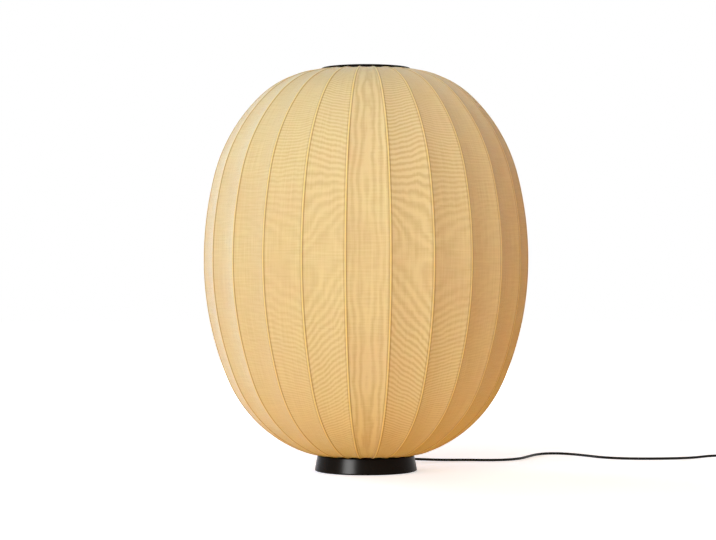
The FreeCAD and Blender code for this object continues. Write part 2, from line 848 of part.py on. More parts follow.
def gland_grooves():
    """Corners of the rings cut into the gland's tail, which let it bend with the lead."""
    count = int(S.gland_groove_count.value)
    step = S.gland_tail_length / (S.gland_groove_count + 1)
    corners = []
    for number in range(1, count + 1):
        begin = step * number - S.gland_groove_width / 2
        end = begin + S.gland_groove_width
        corners += [
            (S.gland_shank_radius - gland_taper * begin, gland_mouth + begin),
            (S.gland_groove_floor, gland_mouth + begin),
            (S.gland_groove_floor, gland_mouth + end),
            (S.gland_shank_radius - gland_taper * end, gland_mouth + end),
        ]
    return corners


cord_gland = turned("cord_gland", [
    (ZERO, gland_back),
    (S.gland_shank_radius, gland_back),
    (S.gland_shank_radius, gland_mouth),
    *gland_grooves(),
    (S.gland_tip_radius, gland_tip),
    (ZERO, gland_tip),
])
place(cord_gland, 0, 0, S.gland_height, TO_Y)


def inner_cable():
    """The lead inside the base: level to the middle, one bend, then up the stem to the holder."""
    level, bend = S.gland_height.value, S.cable_bend_radius.value
    run_end = Vector(0, bend, level)
    rise_start = Vector(0, 0, level + bend)
    lean = bend * (1 - math.sqrt(0.5))
    path = Part.Wire([
        Part.LineSegment(Vector(0, gland_back.value, level), run_end).toShape(),
        Part.Arc(run_end, Vector(0, lean, level + lean), rise_start).toShape(),
        Part.LineSegment(rise_start, Vector(0, 0, S.stem_top.value)).toShape(),
    ])
    swept("inner_cable", path, Vector(0, -1, 0), cord_size, [bend])


inner_cable()

switch_reach = S.switch_length / 2 + S.boss_length
switch_in = Vector(float(S.switch_place_x - switch_reach), S.switch_place_y.value, S.switch_split.value)
switch_out = Vector(float(S.switch_place_x + switch_reach), S.switch_place_y.value, S.switch_split.value)
LEAD_ROUTE = [
    (0, 152, S.gland_height.value), (12, 176, 10.2), (42, 189, 8.4), (84, 192, 7.4), (126, 198, 4.8),
    (168, 209, cord_level), (212, 213, cord_level), (256, 205, cord_level), (297, 213, cord_level),
    (331, 248, cord_level), (351, 300, cord_level), (374, 351, cord_level), (406, 375, cord_level),
    (443, 358, cord_level), (475, 318, cord_level), (505, 270, cord_level), (548, 244, cord_level),
    (602, 239, cord_level), (656, 247, cord_level), (700, 250, 4.2), (734, 254, S.switch_split.value),
]
lead_start = Vector(0, gland_tip.value, S.gland_height.value)
tube("cord_lead", [lead_start] + [Vector(*point) for point in LEAD_ROUTE] + [switch_in], cord_size)

# Foot switch

lip_foot = S.switch_split + S.fit_gap + S.button_travel
lip_top = lip_foot + S.button_lip_height
button_seat = lip_top + S.fit_gap
switch_top = button_seat + S.well_lip


def switch_shell(label, bottom, top, cut_from, cut_height):
    """Half of the switch's oblong housing with half of the boss at each end."""
    shell = new_body(label)
    plan = sketch_on(shell, "XY_Plane", label + "_plan")
    half, straight = S.switch_width / 2, (S.switch_length - S.switch_width) / 2
    for side in (1, -1):
        circle = Part.Circle(Vector(side * straight.value, 0, 0), Vector(0, 0, 1), half.value)
        quarter = side * math.pi / 2
        plan.addGeometry(Part.ArcOfCircle(circle, -quarter, quarter if side > 0 else 3 * math.pi / 2))
    plan.addGeometry(Part.LineSegment(plan.getPoint(0, 2), plan.getPoint(1, 1)))
    plan.addGeometry(Part.LineSegment(plan.getPoint(1, 2), plan.getPoint(0, 1)))
    for joint in ((0, 2, 2, 1), (2, 2, 1, 1), (1, 2, 3, 1), (3, 2, 0, 1)):
        plan.addConstraint(Sketcher.Constraint("Tangent", *joint))
    for arc in (0, 1):
        plan.addConstraint(Sketcher.Constraint("PointOnObject", arc, 3, -1))
    measure(plan, "Radius", half, 0)
    measure(plan, "DistanceX", straight, -1, 1, 0, 3)
    measure(plan, "DistanceX", straight, 1, 3, -1, 1)
    pad(shell, plan, top - bottom)
    plan.AttachmentOffset = Placement(Vector(0, 0, bottom.value), Rotation())
    plan.setExpression("AttachmentOffset.Base.z", bottom.text)
    cylinder(shell, "Additive", "boss", S.boss_radius, switch_reach * 2,
             (switch_reach * -1, 0, S.switch_split), TO_X)
    box(shell, "Subtractive", "split", (switch_reach * 2, S.switch_width, cut_height),
        (switch_reach * -1, S.switch_width / -2, cut_from))
    place(shell, S.switch_place_x, S.switch_place_y, 0)
    return shell


def switch_holes(shell, name, bottom, radius, length):
    screw_holes(shell, name, S.switch_screw_reach_out, ZERO, bottom, radius, length, S.switch_screw_count)


screw_depth = S.screw_head_height + S.fit_gap
switch_lower = switch_shell("switch_lower_shell", ZERO, S.switch_split, S.switch_split, S.boss_radius)
switch_holes(switch_lower, "head_hole", ZERO, S.switch_screw_radius + S.screw_head_overhang, screw_depth)
switch_holes(switch_lower, "shank_hole", screw_depth, S.switch_screw_radius, S.switch_split)
switch_upper = switch_shell("switch_upper_shell", S.switch_split, switch_top,
                            S.switch_split - S.boss_radius, S.boss_radius)
fillet(switch_upper, S.switch_edge_fillet,
       lambda edge: all(near(v.Point.z, switch_top) for v in edge.Vertexes))
cylinder(switch_upper, "Subtractive", "well", S.well_radius, switch_top, (0, 0, S.switch_split))
cylinder(switch_upper, "Subtractive", "lip_room", S.button_lip_radius + S.fit_gap,
         button_seat - S.switch_split, (0, 0, S.switch_split))
switch_holes(switch_upper, "shank_hole", S.switch_split, S.switch_screw_radius,
             S.switch_screw_bite + S.fit_gap)
button_top = switch_top + S.button_proud
switch_button = turned("switch_button", [
    (ZERO, lip_foot),
    (S.button_lip_radius, lip_foot),
    (S.button_lip_radius, lip_top),
    (S.button_radius, lip_top),
    (S.button_radius, button_top),
    (ZERO, button_top),
])
fillet(switch_button, S.button_fillet, lambda edge: is_circle(edge, S.button_radius, button_top))
place(switch_button, S.switch_place_x, S.switch_place_y, 0)
switch_screws = screws("switch_screws", S.switch_screw_reach_out, ZERO, screw_depth, S.switch_screw_radius,
                       S.switch_split - screw_depth + S.switch_screw_bite, S.switch_screw_count)
place(switch_screws, S.switch_place_x, S.switch_place_y, 0)

# Coil of the put-away length: half turns that spiral in, climb one layer and spiral out again

CLIMB_STEEPNESS = 1.6
GAP_STEP = 2.0

coil_level = float(S.tie_thickness + S.tie_gap + S.floor_lift * 2 + S.cord_diameter / 2)
turn_step = S.cord_diameter + S.turn_gap
turn_pitch = turn_step.value
coil_middle = Vector(S.coil_place_x.value, S.coil_place_y.value, coil_level)


def biarc(start, start_way, end, end_way):
    """Two arcs that leave one point and reach another along given directions, tangent where they meet."""
    span = end - start
    ways = start_way + end_way
    blend = 2 * (1 - start_way.dot(end_way))
    slope = span.dot(ways)
    reach = (math.sqrt(slope ** 2 + blend * span.dot(span)) - slope) / blend
    first, second = start + start_way * reach, end - end_way * reach
    meeting = (first + second) * 0.5
    arcs = []
    for a, corner, b in ((start, first, meeting), (meeting, second, end)):
        back, ahead = (a - corner).normalize(), (b - corner).normalize()
        half_turn = (math.pi - back.getAngle(ahead)) / 2
        radius = reach / math.tan(half_turn)
        bulge = radius / math.cos(half_turn) - radius
        arcs.append(Part.Arc(a, corner + (back + ahead).normalize() * bulge, b).toShape())
    return arcs


def left_of(heading):
    return Vector(-heading.y, heading.x, 0)


def half_circle(start, heading, radius):
    """A level half turn to the left."""
    left = left_of(heading)
    return Part.Arc(start, start + left * radius + heading * radius, start + left * (radius * 2)).toShape()


def coil_path():
    """Half turns that spiral in, climb one layer and spiral out, between two short straight ends."""
    heading = Vector(0, 1, 0)
    radius = S.coil_outer_radius.value
    point = coil_middle + Vector(radius, 0, 0)
    edges = [Part.LineSegment(point - heading * cord_size, point).toShape()]
    radii = []

    def wind(count, change):
        nonlocal point, heading, radius
        for _ in range(count):
            edges.append(half_circle(point, heading, radius))
            radii.append(radius)
            point = point + left_of(heading) * (radius * 2)
            heading = heading * -1
            radius += change

    wind(int(S.coil_half_turns_in.value), -turn_pitch / 2)
    left = left_of(heading)
    climb = Vector(0, 0, turn_pitch)
    top = point + left * radius + heading * radius + climb * 0.5
    finish = point + left * (radius * 2) + climb
    along = (left + climb * (CLIMB_STEEPNESS / (math.pi * radius))).normalize()
    edges.extend(biarc(point, heading, top, along))
    edges.extend(biarc(top, along, finish, heading * -1))
    radii.append(radius)
    point, heading = finish, heading * -1
    radius += turn_pitch / 2
    wind(int(S.coil_half_turns_out.value), turn_pitch / 2)
    edges.append(Part.LineSegment(point, point + heading * cord_size).toShape())
    return Part.Wire(edges), radii, point + heading * cord_size


def least_gap(path):
    """The least clear distance between two places on the tube that are some diameters apart along it."""
    points = path.discretize(Distance=GAP_STEP)
    skip = int(math.pi * cord_size * 2 / GAP_STEP)
    pairs = ((one, other) for i, one in enumerate(points) for other in points[i + skip:])
    return min(one.distanceToPoint(other) for one, other in pairs) - cord_size


coil_wire, coil_radii, coil_exit = coil_path()
swept("cord_coil", coil_wire, Vector(0, 1, 0), cord_size, coil_radii)
print(f"cord_coil: least gap to itself {least_gap(coil_wire):.2f}")
coil_entry = coil_middle + Vector(S.coil_outer_radius.value, -cord_size, 0)
TAIL_ROUTE = [
    (873, 254, S.switch_split.value), (891.5, 264.5, 6.6), (902.2, 283, 5.2), (902.5, 309, coil_level),
]
tube("cord_tail", [switch_out] + [Vector(*point) for point in TAIL_ROUTE] + [coil_entry], cord_size)

coil_inner_radius = S.coil_outer_radius - turn_step * (S.coil_half_turns_in + 1) / 2
tie_left = S.coil_outer_radius + S.cord_diameter / 2 + S.tie_gap
tie_inner = coil_inner_radius - S.cord_diameter / 2 - S.tie_gap
tie_floor = S.tie_thickness + S.floor_lift
tie_ceiling = tie_floor + S.cord_diameter * 2 + S.turn_gap + S.tie_gap * 2 + S.floor_lift
coil_tie = new_body("coil_tie")
tie_profile = sketch_on(coil_tie, "XZ_Plane", "tie_profile")
for inset in (S.tie_thickness, ZERO):
    outline(tie_profile, [
        (tie_inner - inset, tie_floor - inset),
        (tie_left + inset, tie_floor - inset),
        (tie_left + inset, tie_ceiling + inset),
        (tie_inner - inset, tie_ceiling + inset),
    ])
tie_band = pad(coil_tie, tie_profile, S.tie_width)
tie_band.Midplane = True
place(coil_tie, S.coil_place_x, S.coil_place_y, 0, Rotation(Vector(0, 0, 1), 180))

# Plug

plug_body = new_body("plug_body")
plug_plan = sketch_on(plug_body, "XY_Plane", "plug_plan")
half_front, half_wide, half_back = S.plug_front_width / 2, S.plug_width / 2, S.plug_back_width / 2
outline(plug_plan, [
    (ZERO, half_front), (S.plug_shoulder, half_wide), (S.plug_length, half_back),
    (S.plug_length, half_back * -1), (S.plug_shoulder, half_wide * -1), (ZERO, half_front * -1),
])
pad(plug_body, plug_plan, S.plug_height)
fillet(plug_body, S.plug_fillet, lambda edge: not all(near(v.Point.x, 0) for v in edge.Vertexes)
       and not all(near(v.Point.z, 0) for v in edge.Vertexes))
plug_axis = S.plug_height / 2
plug_tail = plug_body.newObject("PartDesign::AdditiveCone", "plug_tail")
bind(plug_tail, Radius1=S.plug_tail_radius, Radius2=S.plug_tail_tip_radius,
     Height=S.plug_tail_length + S.plug_fillet)
place(plug_tail, S.plug_length - S.plug_fillet, 0, plug_axis, TO_X)
place(plug_body, S.plug_place_x, S.plug_place_y, 0)
plug_pins = new_body("plug_pins")
for name, side in (("near_pin", -1), ("far_pin", 1)):
    cylinder(plug_pins, "Additive", name, S.pin_radius, S.pin_length,
             (S.pin_length * -1, S.pin_spacing * side / 2, plug_axis), TO_X)
fillet(plug_pins, S.pin_fillet,
       lambda edge: isinstance(edge.Curve, Part.Circle) and near(edge.Curve.Center.x, S.pin_length * -1))
place(plug_pins, S.plug_place_x, S.plug_place_y, 0)
plug_tail_end = S.plug_place_x + S.plug_length + S.plug_tail_length
plug_entry = Vector(plug_tail_end.value, S.plug_place_y.value, plug_axis.value)
END_ROUTE = [
    (coil_exit.x, 366, coil_exit.z), (897.5, 388, 8.6), (882, 405, 7.4), (866, plug_entry.y, plug_entry.z),
]
tube("cord_end", [coil_exit] + [Vector(*point) for point in END_ROUTE] + [plug_entry], cord_size)

# Check every object and write each sub-part

doc.recompute()
for thing in doc.Objects:
    if "Invalid" in thing.State or "Error" in thing.State:
        raise RuntimeError(f"{thing.Label} failed: {thing.State} {thing.getStatusString()}")
os.makedirs("parts", exist_ok=True)
for piece in sub_parts:
    shape = Part.getShape(piece)
    if shape.isNull() or not shape.isValid() or not shape.Solids:
        raise RuntimeError(f"{piece.Label} has no sound solid")
    shape.exportStep(f"parts/{piece.Label}.step")
print(f"{len(sub_parts)} sub-parts written")
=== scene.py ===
# %% [markdown]
# # A knitted floor lamp
# The lamp stands on the floor like a big paper lantern: a knitted tube pulled over 24 bent rods,
# which spring between two rings. Its pieces come from the construction model at their true size
# and place. This lesson gives each of them its finish, and makes anew what is soft: the knitted
# shade and the lead. We load the pieces first. The dressed lamp has to fit the same box.

# %% Load the pieces of the lamp
import bmesh
import bpy
import math
from mathutils import Matrix, Vector


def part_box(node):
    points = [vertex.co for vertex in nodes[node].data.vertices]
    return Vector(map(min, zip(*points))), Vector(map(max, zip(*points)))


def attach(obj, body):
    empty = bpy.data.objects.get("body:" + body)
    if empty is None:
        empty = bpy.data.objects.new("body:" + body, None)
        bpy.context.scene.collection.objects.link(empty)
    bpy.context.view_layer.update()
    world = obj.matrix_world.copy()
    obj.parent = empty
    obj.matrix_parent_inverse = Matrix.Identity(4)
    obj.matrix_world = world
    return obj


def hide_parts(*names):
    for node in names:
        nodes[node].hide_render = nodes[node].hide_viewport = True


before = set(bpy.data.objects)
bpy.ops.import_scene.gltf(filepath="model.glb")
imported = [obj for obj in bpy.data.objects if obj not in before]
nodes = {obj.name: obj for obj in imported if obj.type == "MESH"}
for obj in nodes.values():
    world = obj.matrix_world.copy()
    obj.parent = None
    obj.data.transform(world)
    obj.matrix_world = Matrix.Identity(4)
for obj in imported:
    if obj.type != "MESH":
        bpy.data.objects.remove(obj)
scene = bpy.context.scene
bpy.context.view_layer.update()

# %% [markdown]
# ## The camera
# The photograph looks level at the lamp's middle from a good four metres away, with a long lens,
# so the ribs hardly lean and the base shows no top. A level camera needs no shift. The focal
# length is known in pixels of the photograph, and the sensor's width turns it into millimetres.

# %% Camera
PHOTO_WIDTH = 716
FOCAL_PIXELS = 2107.3
SENSOR_WIDTH = 36.0
CAMERA_PLACE = (-0.0158, -4.225, 0.4025)

lens = bpy.data.cameras.new("photo_camera")
lens.sensor_fit = "HORIZONTAL"
lens.sensor_width = SENSOR_WIDTH
lens.lens = FOCAL_PIXELS / PHOTO_WIDTH * SENSOR_WIDTH
camera = bpy.data.objects.new("photo_camera", lens)
camera.location = CAMERA_PLACE
camera.rotation_euler = (math.radians(90), 0, 0)
scene.collection.objects.link(camera)
scene.camera = camera
scene.view_settings.view_transform = "Standard"
print(f"lens {lens.lens:.1f} mm")

# %% [markdown]
# ## The lead
# The lead leaves the base at the back, comes round it on the floor and wanders off to the right
# in loose waves to a foot switch. The rest of its length is put away: a small round coil in two
# layers, held by a strap, with the plug beside it. A cord is best drawn as one smooth NURBS curve
# with a round bevel. The curve cuts inside its corner points, as a real lead does. Order and end
# points are set after the points are added, because set before, they don't take. The bevelled
# curve is then made a mesh: a curve's box counts a metre of radius round each of its points.

# %% Helpers for pieces and cords
CORD_DIAMETER = 0.0055
CORD_STEPS = 8
CORD_ROUNDNESS = 5


def add_piece(name, data, body="stand"):
    """A new piece of the lamp that moves with one of its bodies."""
    piece = bpy.data.objects.new(name, data)
    scene.collection.objects.link(piece)
    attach(piece, body)
    return piece


def add_cord(name, points):
    """A round lead along a smooth line near the points. Gives the piece and the line."""
    curve = bpy.data.curves.new(name, "CURVE")
    curve.dimensions = "3D"
    curve.resolution_u = CORD_STEPS
    spline = curve.splines.new("NURBS")
    spline.points.add(len(points) - 1)
    for point, place in zip(spline.points, points):
        point.co = (*place, 1.0)
    spline.order_u = 3
    spline.use_endpoint_u = True
    guide = bpy.data.objects.new(name + "_guide", curve)
    line = [vertex.co.copy() for vertex in bpy.data.meshes.new_from_object(guide).vertices]
    curve.bevel_depth = CORD_DIAMETER / 2
    curve.bevel_resolution = CORD_ROUNDNESS
    curve.use_fill_caps = True
    tube = bpy.data.meshes.new_from_object(guide)
    bpy.data.objects.remove(guide)
    length = sum((b - a).length for a, b in zip(line, line[1:]))
    print(f"{name}: {length * 1000:.0f} mm long")
    return add_piece(name, tube), line


# %% The lead from the base to the foot switch
FLOOR_LEVEL = 0.0028
GLAND_LEVEL = 0.011
SWITCH_LEVEL = 0.008

LEAD_ROUTE = [
    (0, 0.136, GLAND_LEVEL), (0, 0.152, GLAND_LEVEL), (0.012, 0.176, 0.0102), (0.042, 0.189, 0.0084),
    (0.084, 0.192, 0.0074), (0.126, 0.198, 0.0048), (0.168, 0.209, FLOOR_LEVEL),
    (0.212, 0.213, FLOOR_LEVEL), (0.256, 0.205, FLOOR_LEVEL), (0.297, 0.213, FLOOR_LEVEL),
    (0.331, 0.248, FLOOR_LEVEL), (0.351, 0.300, FLOOR_LEVEL), (0.374, 0.351, FLOOR_LEVEL),
    (0.406, 0.375, FLOOR_LEVEL), (0.443, 0.358, FLOOR_LEVEL), (0.475, 0.318, FLOOR_LEVEL),
    (0.505, 0.270, FLOOR_LEVEL), (0.548, 0.244, FLOOR_LEVEL), (0.602, 0.239, FLOOR_LEVEL),
    (0.656, 0.247, FLOOR_LEVEL), (0.700, 0.250, 0.0042), (0.734, 0.254, SWITCH_LEVEL),
    (0.758, 0.254, SWITCH_LEVEL),
]
lead_cord, lead_line = add_cord("lead_cord", LEAD_ROUTE)
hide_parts("cord_lead")

# %% The coiled rest of the lead, up to the plug
COIL_LEVEL = 0.0039
COIL_MIDDLE_Y = 0.342
COIL_START_X = 0.9025
COIL_RADIUS = 0.0405
TURN_PITCH = 0.0062
HALF_TURNS_IN = 6
HALF_TURNS_OUT = 5
POINTS_PER_HALF_TURN = 8

TAIL_ROUTE = [
    (0.856, 0.254, SWITCH_LEVEL), (0.873, 0.254, SWITCH_LEVEL), (0.8915, 0.2645, 0.0066),
    (0.9022, 0.283, 0.0052), (COIL_START_X, 0.309, COIL_LEVEL), (COIL_START_X, 0.3365, COIL_LEVEL),
]
TOP_LEVEL = COIL_LEVEL + TURN_PITCH
END_ROUTE = [
    (COIL_START_X, 0.3475, TOP_LEVEL), (COIL_START_X, 0.366, TOP_LEVEL), (0.8975, 0.388, 0.0086),
    (0.882, 0.405, 0.0074), (0.866, 0.410, 0.00685), (0.854, 0.410, 0.00685),
]


def coil_route():
    """Half turns that spiral in, climb one layer in the tightest half turn, and spiral out again."""
    points = []
    start_x = COIL_START_X
    half_step = math.pi / POINTS_PER_HALF_TURN / 2
    for half in range(HALF_TURNS_IN + 1 + HALF_TURNS_OUT):
        from_middle = abs(half - HALF_TURNS_IN)
        radius = COIL_RADIUS - (HALF_TURNS_IN - from_middle) * TURN_PITCH / 2
        side = 1 if half % 2 == 0 else -1
        middle_x = start_x - side * radius
        for i in range(POINTS_PER_HALF_TURN):
            share = (i + 0.5) / POINTS_PER_HALF_TURN
            angle = math.pi * (half + share)
            climbed = min(max(half - HALF_TURNS_IN + share, 0), 1)
            reach = radius / math.cos(half_step)
            points.append((middle_x + reach * math.cos(angle), COIL_MIDDLE_Y + reach * math.sin(angle),
                           COIL_LEVEL + TURN_PITCH * climbed))
        start_x = middle_x - side * radius
    return points


rest_cord, rest_line = add_cord("rest_cord", TAIL_ROUTE + coil_route() + END_ROUTE)
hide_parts("cord_tail", "cord_coil", "cord_end")

# %% [markdown]
# ## Finishes
# Most of the lamp's small parts share one need: a surface that isn't perfectly even. One node
# group gives a fine grain and a broad cloudiness from two noise textures on object coordinates,
# and each finish takes what it needs from them: a little tint, a little roughness, a little
# height. What is the same all over is set on the shader itself.

# %% Helpers for node trees
def linear(red, green, blue):
    """A screen colour, 0 to 255, as the linear colour that a shader wants."""
    shares = (channel / 255 for channel in (red, green, blue))
    return tuple(s / 12.92 if s <= 0.04045 else ((s + 0.055) / 1.055) ** 2.4 for s in shares)


def add_node(tree, kind, **settings):
    """A new node, with its settings given by name."""
    made = tree.nodes.new(kind)
    for name, value in settings.items():
        setattr(made, name, value)
    return made


def feed(tree, value, socket):
    """Join a socket to a socket, or set it to a number."""
    if isinstance(value, bpy.types.NodeSocket):
        tree.links.new(value, socket)
    else:
        socket.default_value = value


# %% Sums, ranges and mixed colours
def calculate(tree, operation, *values):
    """The result of a Math node on sockets or numbers."""
    step = add_node(tree, "ShaderNodeMath", operation=operation)
    for value, socket in zip(values, step.inputs):
        feed(tree, value, socket)
    return step.outputs[0]


def remap(tree, value, low, high, new_low=0.0, new_high=1.0, smooth=False):
    """A value brought from one range to another, and held inside it."""
    step = add_node(tree, "ShaderNodeMapRange")
    step.interpolation_type = "SMOOTHSTEP" if smooth else "LINEAR"
    for item, name in ((value, "Value"), (low, "From Min"), (high, "From Max"),
                       (new_low, "To Min"), (new_high, "To Max")):
        feed(tree, item, step.inputs[name])
    return step.outputs["Result"]


def mix_colours(tree, share, one, other):
    """Two colours mixed. A Mix node has sockets of one name for every type, so these go by number."""
    step = add_node(tree, "ShaderNodeMix", data_type="RGBA")
    feed(tree, share, step.inputs[0])
    for colour, socket in ((one, step.inputs[6]), (other, step.inputs[7])):
        feed(tree, (*colour, 1.0) if isinstance(colour, tuple) else colour, socket)
    return step.outputs[2]


# %% A shared group for grain and clouding
GRAIN_DETAIL = 3.0


def make_grain_group():
    """A fine noise and a broad one on object coordinates, each with a scale of its own."""
    group = bpy.data.node_groups.new("surface_grain", "ShaderNodeTree")
    for name in ("Grain Scale", "Cloud Scale"):
        group.interface.new_socket(name, in_out="INPUT", socket_type="NodeSocketFloat")
    for name in ("Grain", "Cloud"):
        group.interface.new_socket(name, in_out="OUTPUT", socket_type="NodeSocketFloat")
    entry = add_node(group, "NodeGroupInput")
    leave = add_node(group, "NodeGroupOutput")
    place = add_node(group, "ShaderNodeTexCoord")
    for name in ("Grain", "Cloud"):
        noise = add_node(group, "ShaderNodeTexNoise")
        noise.inputs["Detail"].default_value = GRAIN_DETAIL
        group.links.new(place.outputs["Object"], noise.inputs["Vector"])
        group.links.new(entry.outputs[f"{name} Scale"], noise.inputs["Scale"])
        group.links.new(noise.outputs["Fac"], leave.inputs[name])
    return group


grain_group = make_grain_group()
print("group", grain_group.name, "with", len(grain_group.nodes), "nodes")


# %% A finish from two tones, a range of roughness and a fine height
CLOUD_RANGE = (0.3, 0.7)
GRAIN_STRENGTH = 0.6


def finish(name, dark, light, roughness, grain_scale, cloud_scale, height, **constants):
    """A material whose tone and gloss drift a little over the surface."""
    material = bpy.data.materials.new(name)
    material.use_nodes = True
    tree = material.node_tree
    shader = tree.nodes["Principled BSDF"]
    grain = add_node(tree, "ShaderNodeGroup", node_tree=grain_group)
    grain.inputs["Grain Scale"].default_value = grain_scale
    grain.inputs["Cloud Scale"].default_value = cloud_scale
    cloud = grain.outputs["Cloud"]
    tone = mix_colours(tree, remap(tree, cloud, *CLOUD_RANGE), dark, light)
    feed(tree, tone, shader.inputs["Base Color"])
    feed(tree, remap(tree, cloud, *CLOUD_RANGE, *roughness), shader.inputs["Roughness"])
    bump = add_node(tree, "ShaderNodeBump")
    bump.inputs["Distance"].default_value = height
    bump.inputs["Strength"].default_value = GRAIN_STRENGTH
    feed(tree, grain.outputs["Grain"], bump.inputs["Height"])
    feed(tree, bump.outputs["Normal"], shader.inputs["Normal"])
    for socket, value in constants.items():
        shader.inputs[socket.replace("_", " ")].default_value = value
    return material


def dress(material, *names):
    """Put a finish on pieces of the construction model."""
    for name in names:
        slots = nodes[name].data.materials
        slots.clear()
        slots.append(material)


# %% [markdown]
# ### Enamelled metal
# The base, the rings and the stem carry a satin enamel that is almost black, with a brown warmth.
# It mirrors little, so the white room hardly lightens it, but it is smooth enough to draw a
# light together into a soft highlight. The base has a light of its own for that, set up below.

# %% Enamel, steel and casting
enamel = finish("black_enamel", linear(14, 9, 5), linear(20, 14, 8), roughness=(0.25, 0.29),
                grain_scale=2600, cloud_scale=14, height=0.00002, Specular_IOR_Level=0.05)
dress(enamel, "base_shell", "top_ring", "bottom_ring", "stem_collar", "stem_tube")
steel = finish("bare_steel", linear(150, 150, 148), linear(186, 186, 184), roughness=(0.24, 0.36),
               grain_scale=1800, cloud_scale=60, height=0.00001, Metallic=1.0)
dress(steel, "base_plate", "plate_screws", "ring_screws", "stem_nut", "switch_screws", "plug_pins")
casting = finish("cast_weight", linear(48, 47, 45), linear(72, 70, 66), roughness=(0.6, 0.8),
                 grain_scale=700, cloud_scale=40, height=0.0004, Metallic=0.6)
dress(casting, "base_weight")
print("enamel, steel and casting are on")

# %% [markdown]
# ### Mouldings, brass, glass and rubber
# The lamp holder, the switch and the plug are black mouldings with the fine grain of a spark
# eroded mould. The bulb is opal glass on a pale collar. Under the base lies a ring of rubber.

# %% Mouldings, brass, glass and rubber
moulding = finish("black_moulding", linear(19, 19, 19), linear(27, 27, 27), roughness=(0.42, 0.52),
                  grain_scale=2200, cloud_scale=30, height=0.00006)
dress(moulding, "holder_cap", "holder_skirt", "switch_lower_shell", "switch_upper_shell", "plug_body")
button_moulding = finish("button_moulding", linear(30, 30, 30), linear(38, 38, 38), roughness=(0.3, 0.38),
                         grain_scale=1500, cloud_scale=40, height=0.00003)
dress(button_moulding, "switch_button")
pale_moulding = finish("pale_moulding", linear(222, 220, 212), linear(232, 230, 222), roughness=(0.4, 0.5),
                       grain_scale=1800, cloud_scale=40, height=0.00003)
dress(pale_moulding, "holder_core", "bulb_collar")
brass = finish("contact_brass", linear(190, 150, 78), linear(214, 176, 100), roughness=(0.22, 0.34),
               grain_scale=1500, cloud_scale=50, height=0.00001, Metallic=1.0)
dress(brass, "thread_sleeve", "centre_contact")
opal = finish("opal_glass", linear(240, 238, 230), linear(246, 244, 238), roughness=(0.2, 0.28),
              grain_scale=1200, cloud_scale=20, height=0.00001, Subsurface_Weight=0.3,
              Subsurface_Scale=0.01, Coat_Weight=0.4, Coat_Roughness=0.15)
dress(opal, "bulb_globe")
rubber = finish("grip_pad", linear(28, 28, 28), linear(40, 39, 38), roughness=(0.75, 0.9),
                grain_scale=1500, cloud_scale=60, height=0.0001)
dress(rubber, "base_pad")
print("mouldings, brass, glass and rubber are on")

# %% [markdown]
# ### Rods and lead
# The rods are drawn glass fibre, pale and smooth. The lead has a soft black sheath that mirrors
# little. Its two lengths are new pieces, so they take the sheath's finish as their first one.

# %% Rods and lead
rod_fibre = finish("rod_fibre", linear(214, 206, 182), linear(228, 221, 198), roughness=(0.3, 0.42),
                   grain_scale=1400, cloud_scale=30, height=0.00002)
dress(rod_fibre, *(name for name in nodes if name.startswith("rod_")))
sheath = finish("cord_sheath", linear(10, 10, 10), linear(16, 16, 15), roughness=(0.44, 0.55),
                grain_scale=1600, cloud_scale=50, height=0.00003, Specular_IOR_Level=0.2)
dress(sheath, "cord_gland", "inner_cable")
for cord in (lead_cord, rest_cord):
    cord.data.materials.append(sheath)
print("rods and lead have their finish")

# %% [markdown]
# ## Turned details
# Some small forms are left to this script because they are too fine for the construction model:
# the bulb's rolled thread, the rings that grip a foot on the button, the sleeves of the plug's
# pins and the ribs of its tail. All of them are round, so each is a short line of points that is
# spun about its own axis. One helper takes the points as distances from the axis and along it.

# %% Helpers for turned details
UP = Vector((0, 0, 1))
RIGHT = Vector((1, 0, 0))
TURN_STEPS = 48
RIDGE_STEPS = 6
MERGE_DISTANCE = 1e-6


def draw_profile(mesh, centre, along, out, profile):
    """A line of points beside an axis, ready to be spun about it."""
    points = [mesh.verts.new(centre + out * away + along * up) for away, up in profile]
    return points + [mesh.edges.new(pair) for pair in zip(points, points[1:])]


def turn(mesh, centre, along, out, profile):
    """Spin a profile once round its axis."""
    line = draw_profile(mesh, centre, along, out, profile)
    bmesh.ops.spin(mesh, geom=line, cent=centre, axis=along, angle=2 * math.pi, steps=TURN_STEPS,
                   use_merge=True)


def rounded_ridge(radius, place, half_width, height):
    """The profile of a low round ridge on a turned surface."""
    angles = [math.pi * i / RIDGE_STEPS for i in range(RIDGE_STEPS + 1)]
    return [(radius + height * math.sin(a), place - half_width * math.cos(a)) for a in angles]


def mesh_data(name, mesh):
    """A bmesh as the data of an object. The bmesh itself is let go."""
    data = bpy.data.meshes.new(name)
    mesh.to_mesh(data)
    mesh.free()
    return data


def finish_piece(name, mesh, slot, body, *materials):
    """Close a bmesh's seams, turn its faces outwards and add it to the lamp."""
    bmesh.ops.remove_doubles(mesh, verts=mesh.verts, dist=MERGE_DISTANCE)
    bmesh.ops.recalc_face_normals(mesh, faces=mesh.faces)
    data = mesh_data(name, mesh)
    data.shade_smooth()
    for material in materials:
        data.materials.append(material)
    print(f"{name}: {len(data.polygons)} faces")
    return add_piece(name, data, body)


# %% [markdown]
# ### The bulb's screw cap
# The cap of a bulb is thin sheet with a rolled thread, closed below by a black glass cone and a
# contact. The thread's profile is one wave, one pitch high. Spun with a step upwards it becomes
# a helix, and because each turn starts where the one below it ends, the turns close up. The wave
# grows from nothing at both ends, as a rolled thread does, and a turned core carries it.

# %% Screw cap with its thread
THREAD_PITCH = 0.0036
THREAD_TURNS = 4
THREAD_DEPTH = 0.001
THREAD_ROOT = 0.012
THREAD_RUN_IN = 0.3 * THREAD_PITCH
WAVE_POINTS = 8
GLASS_TOP = 0.0034

